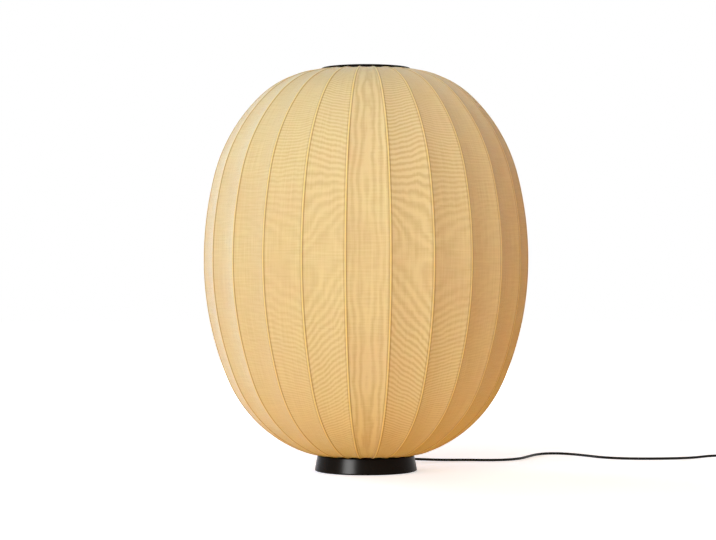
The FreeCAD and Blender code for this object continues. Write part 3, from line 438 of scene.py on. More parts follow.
cap_low, cap_high = (Vector(corner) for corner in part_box("bulb_cap"))
cap_radius = (cap_high.x - cap_low.x) / 2
cap_length = cap_high.z - cap_low.z
cap_foot = Vector((0, 0, cap_low.z))
thread_start = GLASS_TOP + THREAD_PITCH / 4
thread_end = thread_start + THREAD_PITCH * (THREAD_TURNS + 1)


def thread_growth(up):
    """How much of its depth the thread has at a height over the cap's foot."""
    run_in = (up - thread_start - THREAD_RUN_IN) / THREAD_PITCH
    run_out = (thread_end - THREAD_RUN_IN - up) / THREAD_PITCH
    return min(max(min(run_in, run_out), 0.0), 1.0)


def roll_thread(mesh):
    """Spin one wave of the thread upwards, then let its depth grow from nothing at both ends."""
    depth = mesh.verts.layers.float.new("depth")
    wave = [(THREAD_ROOT, thread_start + THREAD_PITCH * i / WAVE_POINTS) for i in range(WAVE_POINTS + 1)]
    line = draw_profile(mesh, cap_foot, UP, RIGHT, wave)
    points = [item for item in line if isinstance(item, bmesh.types.BMVert)]
    for i, vertex in enumerate(points):
        vertex[depth] = THREAD_DEPTH * (1 - math.cos(2 * math.pi * i / WAVE_POINTS)) / 2
    bmesh.ops.spin(mesh, geom=line, cent=cap_foot, axis=UP, dvec=UP * (THREAD_PITCH / TURN_STEPS),
                   angle=2 * math.pi * THREAD_TURNS, steps=TURN_STEPS * THREAD_TURNS)
    for vertex in mesh.verts:
        radius = THREAD_ROOT + vertex[depth] * thread_growth(vertex.co.z - cap_foot.z)
        vertex.co.xy = vertex.co.xy.normalized() * radius


thread_mesh = bmesh.new()
roll_thread(thread_mesh)
finish_piece("bulb_thread", thread_mesh, "bare_steel", "bulb", steel)

# %% Core of the cap
GLASS_PART, TIP_PART = 1, 2
TIP_FLAT = 0.0036
TIP_RADIUS = 0.0045
GLASS_FOOT = 0.0008
GLASS_FOOT_RADIUS = 0.00495
GLASS_TOP_RADIUS = 0.01104
ROLL_HEIGHT = 0.0006
RIM_HEIGHT = 0.0034
RIM_BAND = 0.00238

cap_glass = finish("cap_glass", linear(16, 15, 20), linear(24, 22, 28), roughness=(0.12, 0.2),
                   grain_scale=900, cloud_scale=80, height=0.00002)
core_mesh = bmesh.new()
turn(core_mesh, cap_foot, UP, RIGHT, [
    (0, 0), (TIP_FLAT, 0), (TIP_RADIUS, GLASS_FOOT), (GLASS_FOOT_RADIUS, GLASS_FOOT),
    (GLASS_TOP_RADIUS, GLASS_TOP), (THREAD_ROOT, GLASS_TOP + ROLL_HEIGHT),
    (THREAD_ROOT, cap_length - RIM_HEIGHT), (cap_radius, cap_length - RIM_BAND),
    (cap_radius, cap_length), (0, cap_length),
])
for face in core_mesh.faces:
    up = face.calc_center_median().z - cap_foot.z
    if up < GLASS_FOOT:
        face.material_index = TIP_PART
    elif up < GLASS_TOP:
        face.material_index = GLASS_PART
bulb_core = finish_piece("bulb_core", core_mesh, "bare_steel", "bulb", steel, cap_glass, brass)
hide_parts("bulb_cap")

# %% [markdown]
# ### Button and plug
# A foot finds the button by three low rings on its top. The plug's pins wear black sleeves next
# to its body, and its tail has ribs that let it bend. A ring or rib is a low half round, spun
# about the button's or the plug's axis.

# %% Rings on the button
GRIP_RADII = (0.004, 0.0072, 0.0104)
GRIP_HALF_WIDTH = 0.0006
GRIP_HEIGHT = 0.0004

button_low, button_high = (Vector(corner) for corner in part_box("switch_button"))
button_top = Vector(((button_low.x + button_high.x) / 2, (button_low.y + button_high.y) / 2, button_high.z))
rings_mesh = bmesh.new()
for radius in GRIP_RADII:
    ridge = rounded_ridge(0, radius, GRIP_HALF_WIDTH, GRIP_HEIGHT)
    turn(rings_mesh, button_top, UP, RIGHT, [(place, height) for height, place in ridge])
button_rings = finish_piece("button_rings", rings_mesh, "button_moulding", "button", button_moulding)

# %% Sleeves of the pins and ribs of the plug's tail
SLEEVE_LENGTH = 0.01
SLEEVE_PROUD = 0.0001
SLEEVE_BEVEL = 0.0002
TAIL_LENGTH = 0.022
TAIL_RADII = (0.0052, 0.0037)
TAIL_RIBS = 5
TAIL_RIB_START = 0.8
TAIL_RIB_SPACES = 5.6
TAIL_RIB_HALF_WIDTH = 0.0011
TAIL_RIB_HEIGHT = 0.0005

pins_low, pins_high = (Vector(corner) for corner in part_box("plug_pins"))
plug_high = Vector(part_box("plug_body")[1])
pin_radius = (pins_high.z - pins_low.z) / 2
pin_level = (pins_high.z + pins_low.z) / 2
sleeve_radius = pin_radius + SLEEVE_PROUD
sleeves_mesh = bmesh.new()
for y in (pins_low.y + pin_radius, pins_high.y - pin_radius):
    turn(sleeves_mesh, Vector((pins_high.x, y, pin_level)), RIGHT, UP, [
        (pin_radius - SLEEVE_PROUD, -SLEEVE_LENGTH), (sleeve_radius - SLEEVE_BEVEL, -SLEEVE_LENGTH),
        (sleeve_radius, SLEEVE_BEVEL - SLEEVE_LENGTH), (sleeve_radius, 0), (pin_radius - SLEEVE_PROUD, 0),
    ])
pin_sleeves = finish_piece("pin_sleeves", sleeves_mesh, "black_moulding", "stand", moulding)
tail_start = Vector((plug_high.x - TAIL_LENGTH, (pins_low.y + pins_high.y) / 2, pin_level))
tail_mesh = bmesh.new()
for i in range(TAIL_RIBS):
    share = (i + TAIL_RIB_START) / TAIL_RIB_SPACES
    radius = TAIL_RADII[0] + (TAIL_RADII[1] - TAIL_RADII[0]) * share
    ridge = rounded_ridge(radius, TAIL_LENGTH * share, TAIL_RIB_HALF_WIDTH, TAIL_RIB_HEIGHT)
    turn(tail_mesh, tail_start, RIGHT, UP, ridge)
tail_ribs = finish_piece("tail_ribs", tail_mesh, "black_moulding", "stand", moulding)

# %% [markdown]
# ### The strap round the coil
# A narrow woven strap holds the coil, with its loose end laid back along its top. Seen from the
# side it is a rectangle with round corners, so it starts as a single face whose corner points
# are bevelled. The face is taken out, its rim is extruded to the strap's width, and Solidify
# gives the band its thickness. The weave follows the strap's own directions.

# %% Strap round the coil
STRAP_THICKNESS = 0.0007
STRAP_ROUNDING = 0.004
STRAP_CORNER_STEPS = 6
STRAP_END_LENGTH = 0.017
STRAP_END_ROUNDING = 0.003
STRAP_END_STEPS = 5

strap_low, strap_high = (Vector(corner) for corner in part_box("coil_tie"))
strap_width = strap_high.y - strap_low.y


def make_band(mesh):
    """The strap's closed band, as a loop of faces round the coil."""
    places = ((strap_low.x, strap_low.z), (strap_high.x, strap_low.z),
              (strap_high.x, strap_high.z), (strap_low.x, strap_high.z))
    corners = [mesh.verts.new((x, strap_low.y, z)) for x, z in places]
    mesh.faces.new(corners)
    bmesh.ops.bevel(mesh, geom=corners, offset=STRAP_ROUNDING, segments=STRAP_CORNER_STEPS, profile=0.5,
                    affect="VERTICES", material=-1)
    bmesh.ops.delete(mesh, geom=mesh.faces[:], context="FACES_ONLY")
    side = bmesh.ops.extrude_edge_only(mesh, edges=mesh.edges[:])["geom"]
    moved = [item for item in side if isinstance(item, bmesh.types.BMVert)]
    bmesh.ops.translate(mesh, verts=moved, vec=(0, strap_width, 0))
    bmesh.ops.recalc_face_normals(mesh, faces=mesh.faces)


def add_loose_end(mesh):
    """The strap's end, laid flat along the top of the band and rounded at its tip."""
    made = bmesh.ops.create_grid(mesh, x_segments=1, y_segments=1, size=0.5)["verts"]
    middle = (strap_low + strap_high) / 2
    bmesh.ops.scale(mesh, verts=made, vec=(STRAP_END_LENGTH, strap_width, 1))
    bmesh.ops.translate(mesh, verts=made, vec=(middle.x, middle.y, strap_high.z + STRAP_THICKNESS))
    rounded = [vertex for vertex in made if vertex.co.x > middle.x]
    bmesh.ops.bevel(mesh, geom=rounded, offset=STRAP_END_ROUNDING, segments=STRAP_END_STEPS, profile=0.5,
                    affect="VERTICES", material=-1)


# %% Put the strap together
def thicken(piece, thickness):
    """Give a sheet its thickness, inwards from its faces."""
    wall = piece.modifiers.new("thickness", "SOLIDIFY")
    wall.thickness = thickness
    wall.offset = -1.0


strap_mesh = bmesh.new()
make_band(strap_mesh)
add_loose_end(strap_mesh)
strap_data = mesh_data("coil_strap", strap_mesh)
coil_strap = add_piece("coil_strap", strap_data)
thicken(coil_strap, STRAP_THICKNESS)
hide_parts("coil_tie")
print("strap of", len(strap_data.polygons), "faces,", round(strap_width * 1000, 1), "mm wide")

# %% Woven finish of the strap
THREAD_SPACING = 0.0009
WEAVE_HEIGHT = 0.0002
STRAP_DARK, STRAP_LIGHT = linear(17, 17, 18), linear(40, 40, 41)

tie_band = finish("tie_band", STRAP_DARK, STRAP_LIGHT, roughness=(0.7, 0.85),
                  grain_scale=1500, cloud_scale=90, height=0.0001)
strap_tree = tie_band.node_tree
strap_place = add_node(strap_tree, "ShaderNodeTexCoord")
strap_split = add_node(strap_tree, "ShaderNodeSeparateXYZ")
strap_tree.links.new(strap_place.outputs["Object"], strap_split.inputs[0])
run = calculate(strap_tree, "ADD", strap_split.outputs["X"], strap_split.outputs["Z"])
thread_rate = 2 * math.pi / THREAD_SPACING
threads = [calculate(strap_tree, "SINE", calculate(strap_tree, "MULTIPLY", way, thread_rate))
           for way in (run, strap_split.outputs["Y"])]
weave = calculate(strap_tree, "MULTIPLY", *threads)
weave_colour = mix_colours(strap_tree, remap(strap_tree, weave, -1.0, 1.0), STRAP_DARK, STRAP_LIGHT)
strap_shader = strap_tree.nodes["Principled BSDF"]
feed(strap_tree, weave_colour, strap_shader.inputs["Base Color"])
weave_bump = add_node(strap_tree, "ShaderNodeBump")
weave_bump.inputs["Distance"].default_value = WEAVE_HEIGHT
feed(strap_tree, weave, weave_bump.inputs["Height"])
feed(strap_tree, weave_bump.outputs["Normal"], strap_shader.inputs["Normal"])
strap_data.materials.append(tie_band)
print("strap threads", THREAD_SPACING * 1000, "mm apart")

# %% [markdown]
# ## The knitted shade
# The shade is one seamless knitted tube. It is stretched over the rods, so it stands out in a
# narrow ridge over each rod and is drawn hollow between them, like the gores of an umbrella seen
# from inside out. A rib's line is a chain of arcs, which a vertex draws when it is spun about each
# arc's centre in turn. Spinning that line through one panel gives a grid, whose points are then
# set on the ridge's round and on the hollow of the panel. Copies of the panel close the shade.

# %% The rib's line as a chain of arcs
SHADE_RADIUS = 0.325
WIDEST_HEIGHT = 0.423
END_RADIUS = 0.0804
TOP_HEIGHT = 0.803
BOTTOM_HEIGHT = 0.0321
UPPER_SHOULDER = 0.334
UPPER_TURNS = (14.0, 46.0)
LOWER_SHOULDER = 0.2665
LOWER_TURNS = (22.5, 66.5)


def half_bend(rise, shoulder, side_turn, shoulder_turn):
    """Side, shoulder and end arcs of half a rib: centre r and z, radius, first and last angle.

    The side's and the end's radius follow from the way across and along that the shoulder leaves.
    """
    one, two = math.radians(side_turn), math.radians(shoulder_turn)
    across = SHADE_RADIUS - END_RADIUS - shoulder * (math.cos(one) - math.cos(two))
    along = rise - shoulder * (math.sin(two) - math.sin(one))
    side_across, end_across = 1 - math.cos(one), math.cos(two)
    side_along, end_along = math.sin(one), 1 - math.sin(two)
    divisor = side_across * end_along - end_across * side_along
    side = (across * end_along - end_across * along) / divisor
    end = (side_across * along - side_along * across) / divisor
    r, z = SHADE_RADIUS - side, 0.0
    arcs = [(r, z, side, 0.0, one)]
    for radius, last, start, stop in ((shoulder, side, one, two), (end, shoulder, two, math.pi / 2)):
        r += (last - radius) * math.cos(start)
        z += (last - radius) * math.sin(start)
        arcs.append((r, z, radius, start, stop))
    return arcs


upper_half = half_bend(TOP_HEIGHT - WIDEST_HEIGHT, UPPER_SHOULDER, *UPPER_TURNS)
lower_half = half_bend(WIDEST_HEIGHT - BOTTOM_HEIGHT, LOWER_SHOULDER, *LOWER_TURNS)
rib_arcs = [(r, WIDEST_HEIGHT - z, radius, -stop, -start)
            for r, z, radius, start, stop in reversed(lower_half)]
rib_arcs += [(r, WIDEST_HEIGHT + z, radius, start, stop) for r, z, radius, start, stop in upper_half]
waist_along = sum(radius * (stop - start) for _, _, radius, start, stop in lower_half)
print("arc radii in mm:", [round(arc[2] * 1000, 1) for arc in rib_arcs])
print(f"the widest place is {waist_along * 1000:.0f} mm along the rib")


# %% Draw the rib by spinning a vertex
ARC_STEP = 0.014


def draw_rib(mesh):
    """The rib in the XZ plane. A vertex notes how far its outside tilts up and its place along the rib."""
    tilt = mesh.verts.layers.float.new("tilt")
    along = mesh.verts.layers.float.new("along")
    r, z, radius, start, _ = rib_arcs[0]
    tip = mesh.verts.new((r + radius * math.cos(start), 0, z + radius * math.sin(start)))
    tip[tilt] = start
    length = 0.0
    for r, z, radius, start, stop in rib_arcs:
        before = set(mesh.verts)
        steps = math.ceil(radius * (stop - start) / ARC_STEP)
        spun = bmesh.ops.spin(mesh, geom=[tip], cent=(r, 0, z), axis=(0, -1, 0), angle=stop - start,
                              steps=steps)
        for vertex in set(mesh.verts) - before:
            angle = math.atan2(vertex.co.z - z, vertex.co.x - r)
            vertex[tilt] = angle
            vertex[along] = length + radius * (angle - start)
        tip = next(item for item in spun["geom_last"] if isinstance(item, bmesh.types.BMVert))
        length += radius * (stop - start)
    return length


# %% Columns across one panel
CAP_ANGLE = math.radians(50)
CAP_COLUMNS = 3
HOLLOW_COLUMNS = 11
CAP_SHARE = 0.03


def panel_columns():
    """Each column across a panel: its lean over the left or right rod, or its place in the hollow."""
    columns = [("left", CAP_ANGLE * i / CAP_COLUMNS) for i in range(CAP_COLUMNS + 1)]
    columns += [("hollow", (1 - math.cos(math.pi * i / HOLLOW_COLUMNS)) / 2)
                for i in range(1, HOLLOW_COLUMNS)]
    columns += [("right", CAP_ANGLE * i / CAP_COLUMNS - CAP_ANGLE) for i in range(CAP_COLUMNS + 1)]
    return columns


def across_share(kind, amount):
    """A column's place across the panel, from 0 to 1, for the knit's own map."""
    if kind == "left":
        return CAP_SHARE * amount / CAP_ANGLE
    if kind == "right":
        return 1 + CAP_SHARE * amount / CAP_ANGLE
    return CAP_SHARE + (1 - 2 * CAP_SHARE) * amount


# %% Points of the cloth over two rods and between them
RIB_COUNT = 24
RIB_STEP = 2 * math.pi / RIB_COUNT
ROD_DEPTH = 0.00325
PANEL_SAG = 0.0045


def outwards(azimuth, tilt):
    """Straight out of the cloth, at an angle round the lamp and a tilt upwards."""
    level = Vector((math.cos(azimuth), math.sin(azimuth), 0))
    return level * math.cos(tilt) + Vector((0, 0, math.sin(tilt)))


def over_rod(rib, azimuth, tilt, lean):
    """A point on the cloth over a rod, leaning to the rod's side."""
    r, z = rib
    ridge = Vector((r * math.cos(azimuth), r * math.sin(azimuth), z))
    out = outwards(azimuth, tilt)
    sideways = Vector((-math.sin(azimuth), math.cos(azimuth), 0))
    return ridge - out * ROD_DEPTH + (out * math.cos(lean) + sideways * math.sin(lean)) * ROD_DEPTH


def cloth_point(rib, tilt, kind, amount):
    """A point of a column, on the round over a rod or in the hollow between two rods."""
    if kind == "left":
        return over_rod(rib, 0.0, tilt, amount)
    if kind == "right":
        return over_rod(rib, RIB_STEP, tilt, amount)
    chord = over_rod(rib, 0.0, tilt, CAP_ANGLE).lerp(over_rod(rib, RIB_STEP, tilt, -CAP_ANGLE), amount)
    sag = PANEL_SAG * (rib[0] / SHADE_RADIUS) ** 2
    return chord - outwards(RIB_STEP / 2, tilt) * (sag * 4 * amount * (1 - amount))


# %% [markdown]
# ### Marks for the watered figure
# A fine knit shows a watered figure, as moire silk does, and it runs differently in each panel:
# upright grain in a panel that faces forward or back, level fringes in those beside it, and hardly
# anything further round. The finish could be made anew for every panel. It is simpler to note the
# amounts on the mesh, as numbers on its vertices, which one finish for all panels reads later.

# %% Strength, lean and pace of the figure
# Heights are metres from the waist. A turn away counts in panels, from the front or the back.
FIGURE_MARKS = ("grain", "fringe", "lean", "pace", "reach")
WAIST_BAND = (0.03, 0.2)
GRAIN_LOST_AT_WAIST = 0.65
FRINGE_LOST_AT_WAIST = 0.6
FACING_FADE = (0.2, 0.8)
FRINGE_FADE = (1.4, 3.6)
LEAST_FRINGE = 0.08
LEFT_FRINGE = 0.9
RIGHT_FRINGE = 1.35
LEANS = ((-0.4, -3.0), (-0.2, -5.5), (-0.05, -4.0), (0.05, 4.0), (0.2, -2.0), (0.4, -2.5))
LEAN_FADE = (1, 2)
LEAN_SWING = 1.5
PACE_GAIN = 0.55


def fade(value, low, high):
    """From 0 at low to 1 at high, held outside."""
    return min(max((value - low) / (high - low), 0.0), 1.0)


def along_knots(value, knots):
    """The amount at a value, on straight lines between knots of value and amount."""
    for (low, first), (high, last) in zip(knots, knots[1:]):
        if value <= high:
            return first + (last - first) * fade(value, low, high)
    return knots[-1][1]


def figure_marks(place, share, aside):
    """How the watered figure runs at a place of a panel that is turned aside from front or back."""
    away = abs(aside) / RIB_STEP
    above_waist = place.z - WIDEST_HEIGHT
    at_waist = 1 - fade(abs(above_waist), *WAIST_BAND)
    facing = 1 - fade(away, *FACING_FADE)
    strongest = RIGHT_FRINGE if aside > 0 else LEFT_FRINGE
    fringe = strongest * max(1 - fade(away, *FRINGE_FADE), LEAST_FRINGE)
    lean = along_knots(above_waist, LEANS) * (1 - LEAN_SWING * fade(away, *LEAN_FADE))
    return {
        "grain": facing * (1 - GRAIN_LOST_AT_WAIST * at_waist),
        "fringe": (1 - facing) * fringe * (1 - FRINGE_LOST_AT_WAIST * at_waist),
        "lean": lean * math.copysign(1, aside),
        "pace": 1 + PACE_GAIN * max(away - 1, 0),
        "reach": (share - 0.5) * RIB_STEP * math.hypot(place.x, place.y),
    }


print("marks on the cloth:", *FIGURE_MARKS)


# %% Number the panels
FRONT_RIB = math.radians(-82)


def number_panels(mesh, knit_map):
    """Count the panels round the shade in the map, and note on each how its watered figure runs."""
    marks = {name: mesh.verts.layers.float.new(name) for name in FIGURE_MARKS}
    share = mesh.verts.layers.float["share"]
    for face in mesh.faces:
        middle = face.calc_center_median()
        panel = math.floor(math.atan2(middle.y, middle.x) / RIB_STEP) % RIB_COUNT
        aside = math.asin(math.cos(FRONT_RIB + (panel + 0.5) * RIB_STEP))
        for corner in face.loops:
            corner[knit_map].uv.x += panel
            vertex = corner.vert
            for name, value in figure_marks(vertex.co, vertex[share], aside).items():
                vertex[marks[name]] = value


# %% Build the shade
CLOTH_THICKNESS = 0.0009


def build_shade():
    """The whole shade as one sheet, turned to its place. Gives the mesh and a rib's length."""
    mesh = bmesh.new()
    length = draw_rib(mesh)
    columns = panel_columns()
    steps = len(columns) - 1
    bmesh.ops.spin(mesh, geom=mesh.verts[:] + mesh.edges[:], cent=(0, 0, 0), axis=(0, 0, 1),
                   angle=RIB_STEP, steps=steps)
    tilt = mesh.verts.layers.float["tilt"]
    along = mesh.verts.layers.float["along"]
    share = mesh.verts.layers.float.new("share")
    for vertex in mesh.verts:
        column = round(math.atan2(vertex.co.y, vertex.co.x) / RIB_STEP * steps)
        rib = (math.hypot(vertex.co.x, vertex.co.y), vertex.co.z)
        vertex.co = cloth_point(rib, vertex[tilt], *columns[column])
        vertex[share] = across_share(*columns[column])
    knit_map = mesh.loops.layers.uv.new("knit_map")
    for face in mesh.faces:
        for corner in face.loops:
            corner[knit_map].uv = (corner.vert[share], corner.vert[along])
    bmesh.ops.spin(mesh, geom=mesh.verts[:] + mesh.edges[:] + mesh.faces[:], cent=(0, 0, 0), axis=(0, 0, 1),
                   angle=2 * math.pi - RIB_STEP, steps=RIB_COUNT - 1, use_duplicate=True)
    number_panels(mesh, knit_map)
    bmesh.ops.remove_doubles(mesh, verts=mesh.verts, dist=MERGE_DISTANCE)
    bmesh.ops.rotate(mesh, verts=mesh.verts, cent=(0, 0, 0), matrix=Matrix.Rotation(FRONT_RIB, 3, "Z"))
    bmesh.ops.recalc_face_normals(mesh, faces=mesh.faces)
    return mesh, length


shade_mesh, rib_length = build_shade()
shade_data = mesh_data("shade_cloth", shade_mesh)
shade_data.shade_smooth()
shade_cloth = add_piece("shade_cloth", shade_data)
thicken(shade_cloth, CLOTH_THICKNESS)
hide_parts("knit_shade")
print(f"shade of {len(shade_data.polygons)} faces, {rib_length * 1000:.0f} mm along a rib")

# %% [markdown]
# ### The knit's finish
# The cloth is a fine plain knit: upright wales and level courses of loops, about a millimetre
# each. From across a room the loops don't show one by one, but they give a soft sheen at the
# edges and a watered figure, as on moire silk. The map that was laid on the panels drives all of
# it: the loops go into the bump, the figure and the ribs' tighter, paler knit into the colour.

# %% Knit material
knit = bpy.data.materials.new("knit_fabric")
knit.use_nodes = True
tree = knit.node_tree
shader = tree.nodes["Principled BSDF"]
knit_place = add_node(tree, "ShaderNodeUVMap", uv_map="knit_map")
split = add_node(tree, "ShaderNodeSeparateXYZ")
tree.links.new(knit_place.outputs["UV"], split.inputs[0])
panels, along = split.outputs["X"], split.outputs["Y"]
across = calculate(tree, "FRACT", panels)
from_middle = calculate(tree, "ABSOLUTE", calculate(tree, "SUBTRACT", across, 0.5))
print(knit.name, "follows", knit_place.uv_map)

# %% Loops of the knit
WALES_PER_PANEL = 62
COURSES_PER_METRE = 820
LOOP_LEAN = 0.9
LOOP_HEIGHT = 0.00012
LOOP_STRENGTH = 0.5

wales = calculate(tree, "MULTIPLY", panels, WALES_PER_PANEL)
wale = calculate(tree, "SUBTRACT", calculate(tree, "FRACT", wales), 0.5)
leaning = calculate(tree, "MULTIPLY", calculate(tree, "ABSOLUTE", wale), LOOP_LEAN)
course = calculate(tree, "ADD", calculate(tree, "MULTIPLY", along, COURSES_PER_METRE), leaning)
loop_wave = calculate(tree, "SINE", calculate(tree, "MULTIPLY", course, 2 * math.pi))
loop_ridge = calculate(tree, "COSINE", calculate(tree, "MULTIPLY", wale, 4 * math.pi))
loop_relief = calculate(tree, "SUBTRACT", loop_wave, loop_ridge)
knit_bump = add_node(tree, "ShaderNodeBump")
knit_bump.inputs["Distance"].default_value = LOOP_HEIGHT
knit_bump.inputs["Strength"].default_value = LOOP_STRENGTH
tree.links.new(loop_relief, knit_bump.inputs["Height"])
tree.links.new(knit_bump.outputs["Normal"], shader.inputs["Normal"])
print("loops:", WALES_PER_PANEL, "wales in a panel,", COURSES_PER_METRE, "courses in a metre")

# %% [markdown]
# ### The watered figure
# Where courses stand closer and closer together, as towards the ends of the shade, they make
# level fringes that crowd in the same way: their count grows with the square of the distance
# from the waist. In a panel that faces forward, upright waves run beside its middle line
# instead. A slow noise makes both wander. The fringes also lean, by amounts that were noted on
# the mesh, panel by panel.

# %% Watered figure
FRINGE_RATE = 215.0
GRAIN_RATE = 5.0
GRAINS_PER_METRE = 80.0
MIDDLE_ROUNDING = 0.006
FRINGE_WANDER = 1.8
GRAIN_WANDER = 2.0
DRIFT_ALONG = 10.0
DRIFT_ACROSS = 2.0
DRIFT_DETAIL = 3.0
PANEL_APART = 3.7


def cloth_noise(detail, *steps):
    """A noise over the cloth's own directions, each a socket with the noise's steps along it."""
    place = add_node(tree, "ShaderNodeCombineXYZ")
    for (way, rate), socket in zip(steps, place.inputs):
        feed(tree, calculate(tree, "MULTIPLY", way, rate), socket)
    noise = add_node(tree, "ShaderNodeTexNoise")
    noise.inputs["Scale"].default_value = 1.0
    noise.inputs["Detail"].default_value = detail
    tree.links.new(place.outputs[0], noise.inputs["Vector"])
    return noise.outputs["Fac"]


grain, fringe, lean, pace, reach = (
    add_node(tree, "ShaderNodeAttribute", attribute_name=name).outputs["Fac"] for name in FIGURE_MARKS)
panel_number = calculate(tree, "FLOOR", panels)
drift = cloth_noise(DRIFT_DETAIL, (across, DRIFT_ACROSS), (along, DRIFT_ALONG), (panel_number, PANEL_APART))
from_waist = calculate(tree, "SUBTRACT", along, waist_along)
crowding = calculate(tree, "MULTIPLY", from_waist, from_waist)


# %% Grain and fringes of the figure
def figure_waves(count, wander):
    """Waves of a count that grows over the cloth, set wandering by the slow noise."""
    wandering = calculate(tree, "MULTIPLY_ADD", drift, wander, count)
    return calculate(tree, "SINE", calculate(tree, "MULTIPLY", wandering, 2 * math.pi))


off_middle = calculate(tree, "SQRT", calculate(tree, "MULTIPLY_ADD", reach, reach, MIDDLE_ROUNDING ** 2))
closing = calculate(tree, "MULTIPLY", crowding, GRAIN_RATE)
upright_count = calculate(tree, "MULTIPLY_ADD", off_middle, GRAINS_PER_METRE, closing)
upright = figure_waves(upright_count, GRAIN_WANDER)
leaned = calculate(tree, "MULTIPLY", lean, calculate(tree, "SUBTRACT", across, 0.5))
rate = calculate(tree, "MULTIPLY", pace, FRINGE_RATE)
level = figure_waves(calculate(tree, "MULTIPLY_ADD", crowding, rate, leaned), FRINGE_WANDER)
figure = calculate(tree, "MULTIPLY_ADD", level, fringe, calculate(tree, "MULTIPLY", upright, grain))
print("figure:", GRAINS_PER_METRE, "grains in a metre, fringes at a rate of", FRINGE_RATE)

# %% [markdown]
# ### The knit's colours
# The yarn is a pale straw colour and a little uneven, which draws faint streaks along the wales
# and the courses. With the figure they darken the ground, and a slow clouding warms it. A rib is
# paler on its crest, partly for the knit that the rod stretches there and partly as a painted
# highlight. Along either side it has a darker line, partly a seam and partly painted shade where
# the ridge meets the hollow.

# %% Ground of the knit
KNIT_TONE = linear(229, 212, 168)
KNIT_DEEP = linear(211, 190, 142)
KNIT_BLUSH = linear(221, 190, 155)
WALE_STREAKS = (28.0, 12.0)
COURSE_STREAKS = (1.5, 330.0)
YARN_DETAIL = 1.0
YARN_UNEVENNESS = 2.0
DEEP_RANGE = (YARN_UNEVENNESS - 0.8, YARN_UNEVENNESS + 1.3)
BLUSH_SCALE = 7.0
BLUSH_RANGE = (0.45, 0.75)
BLUSH_SHARE = 0.35

wale_streaks, course_streaks = (cloth_noise(YARN_DETAIL, (panels, in_panel), (along, in_metre))
                                for in_panel, in_metre in (WALE_STREAKS, COURSE_STREAKS))
yarn = calculate(tree, "ADD", wale_streaks, course_streaks)
uneven = calculate(tree, "MULTIPLY_ADD", yarn, YARN_UNEVENNESS, figure)
figured = mix_colours(tree, remap(tree, uneven, *DEEP_RANGE), KNIT_TONE, KNIT_DEEP)
clouding = add_node(tree, "ShaderNodeGroup", node_tree=grain_group)
clouding.inputs["Cloud Scale"].default_value = BLUSH_SCALE
blush = remap(tree, clouding.outputs["Cloud"], *BLUSH_RANGE, 0.0, BLUSH_SHARE)
ground = mix_colours(tree, blush, figured, KNIT_BLUSH)
print("ground of the knit drawn")

# %% Ribs and surface of the knit
# The crest's paler tone is partly the stretched knit and partly a painted highlight along the ridge.
CREST_TONE_AND_HIGHLIGHT = linear(247, 224, 156)
CREST_FADE = (0.25 * CAP_SHARE, 0.6 * CAP_SHARE)
CREST_AND_HIGHLIGHT_SHARE = 0.75
# The dark line's tone is partly a seam and partly painted shade at the foot of each ridge, a little
# stronger on one side.
SEAM_AND_SHADE_TONE = linear(160, 112, 52)
SEAM_SHADE_START = (0.45 * CAP_SHARE, 0.8 * CAP_SHARE)
SEAM_SHADE_END = (1.1 * CAP_SHARE, 1.7 * CAP_SHARE)
SEAM_SHADE_CHANGE = (0.4, 0.6)
SEAM_SHADE_SHARES = (0.6, 0.45)
KNIT_SURFACE = {
    "Roughness": 0.85,
    "Diffuse Roughness": 1.0,
    "Sheen Weight": 0.4,
    "Sheen Roughness": 0.3,
    "Sheen Tint": (0.92, 0.96, 0.98, 1.0),
    "Specular IOR Level": 0.2,
    "Subsurface Weight": 1.0,
    "Subsurface Radius": (1.0, 0.7, 0.45),
    "Subsurface Scale": 0.0012,
}

# Paler crest: partly painted highlight. Dark lines beside it: partly seam, partly painted shade where the
# ridge meets the hollow.
from_rib = calculate(tree, "SUBTRACT", 0.5, from_middle)
crest_and_highlight = remap(tree, from_rib, *CREST_FADE, CREST_AND_HIGHLIGHT_SHARE, 0.0, smooth=True)
seam_shade_start = remap(tree, from_rib, *SEAM_SHADE_START, smooth=True)
seam_shade_end = remap(tree, from_rib, *SEAM_SHADE_END, 1.0, 0.0, smooth=True)
seam_shade_strength = remap(tree, across, *SEAM_SHADE_CHANGE, *SEAM_SHADE_SHARES)
seam_and_shade = calculate(tree, "MULTIPLY", calculate(tree, "MULTIPLY", seam_shade_start, seam_shade_end), seam_shade_strength)
ribbed_and_highlighted = mix_colours(tree, crest_and_highlight, ground, CREST_TONE_AND_HIGHLIGHT)
sewn_and_shaded = mix_colours(tree, seam_and_shade, ribbed_and_highlighted, SEAM_AND_SHADE_TONE)
tree.links.new(sewn_and_shaded, shader.inputs["Base Color"])
for name, value in KNIT_SURFACE.items():
    shader.inputs[name].default_value = value
shade_data.materials.append(knit)
print("knit material of", len(tree.nodes), "nodes")

# %% [markdown]
# ## The lead's and the tube's sizes
# The lead is about 2.4 m long in all. The knitted tube was about 1.3 m round and 1.1 m long
# before it was stretched.

# %% [markdown]
# ## Floor and light
# The lamp stands on a white floor that runs into a white background. The floor is a pale diffuse
# surface, which keeps the shadow, and glows for camera, mirror and glass rays, so that it reads as
# white. What it throws back on the lamp is warm, as from a wooden room.

# %% White floor
FLOOR_SIZE = 12.0


def make_floor():
    """A wide level floor, which isn't part of the lamp."""
    mesh = bmesh.new()
    bmesh.ops.create_grid(mesh, x_segments=1, y_segments=1, size=FLOOR_SIZE)
    floor = bpy.data.objects.new("floor", mesh_data("floor", mesh))
    scene.collection.objects.link(floor)
    return floor


floor = make_floor()
print("floor", FLOOR_SIZE * 2, "m wide")

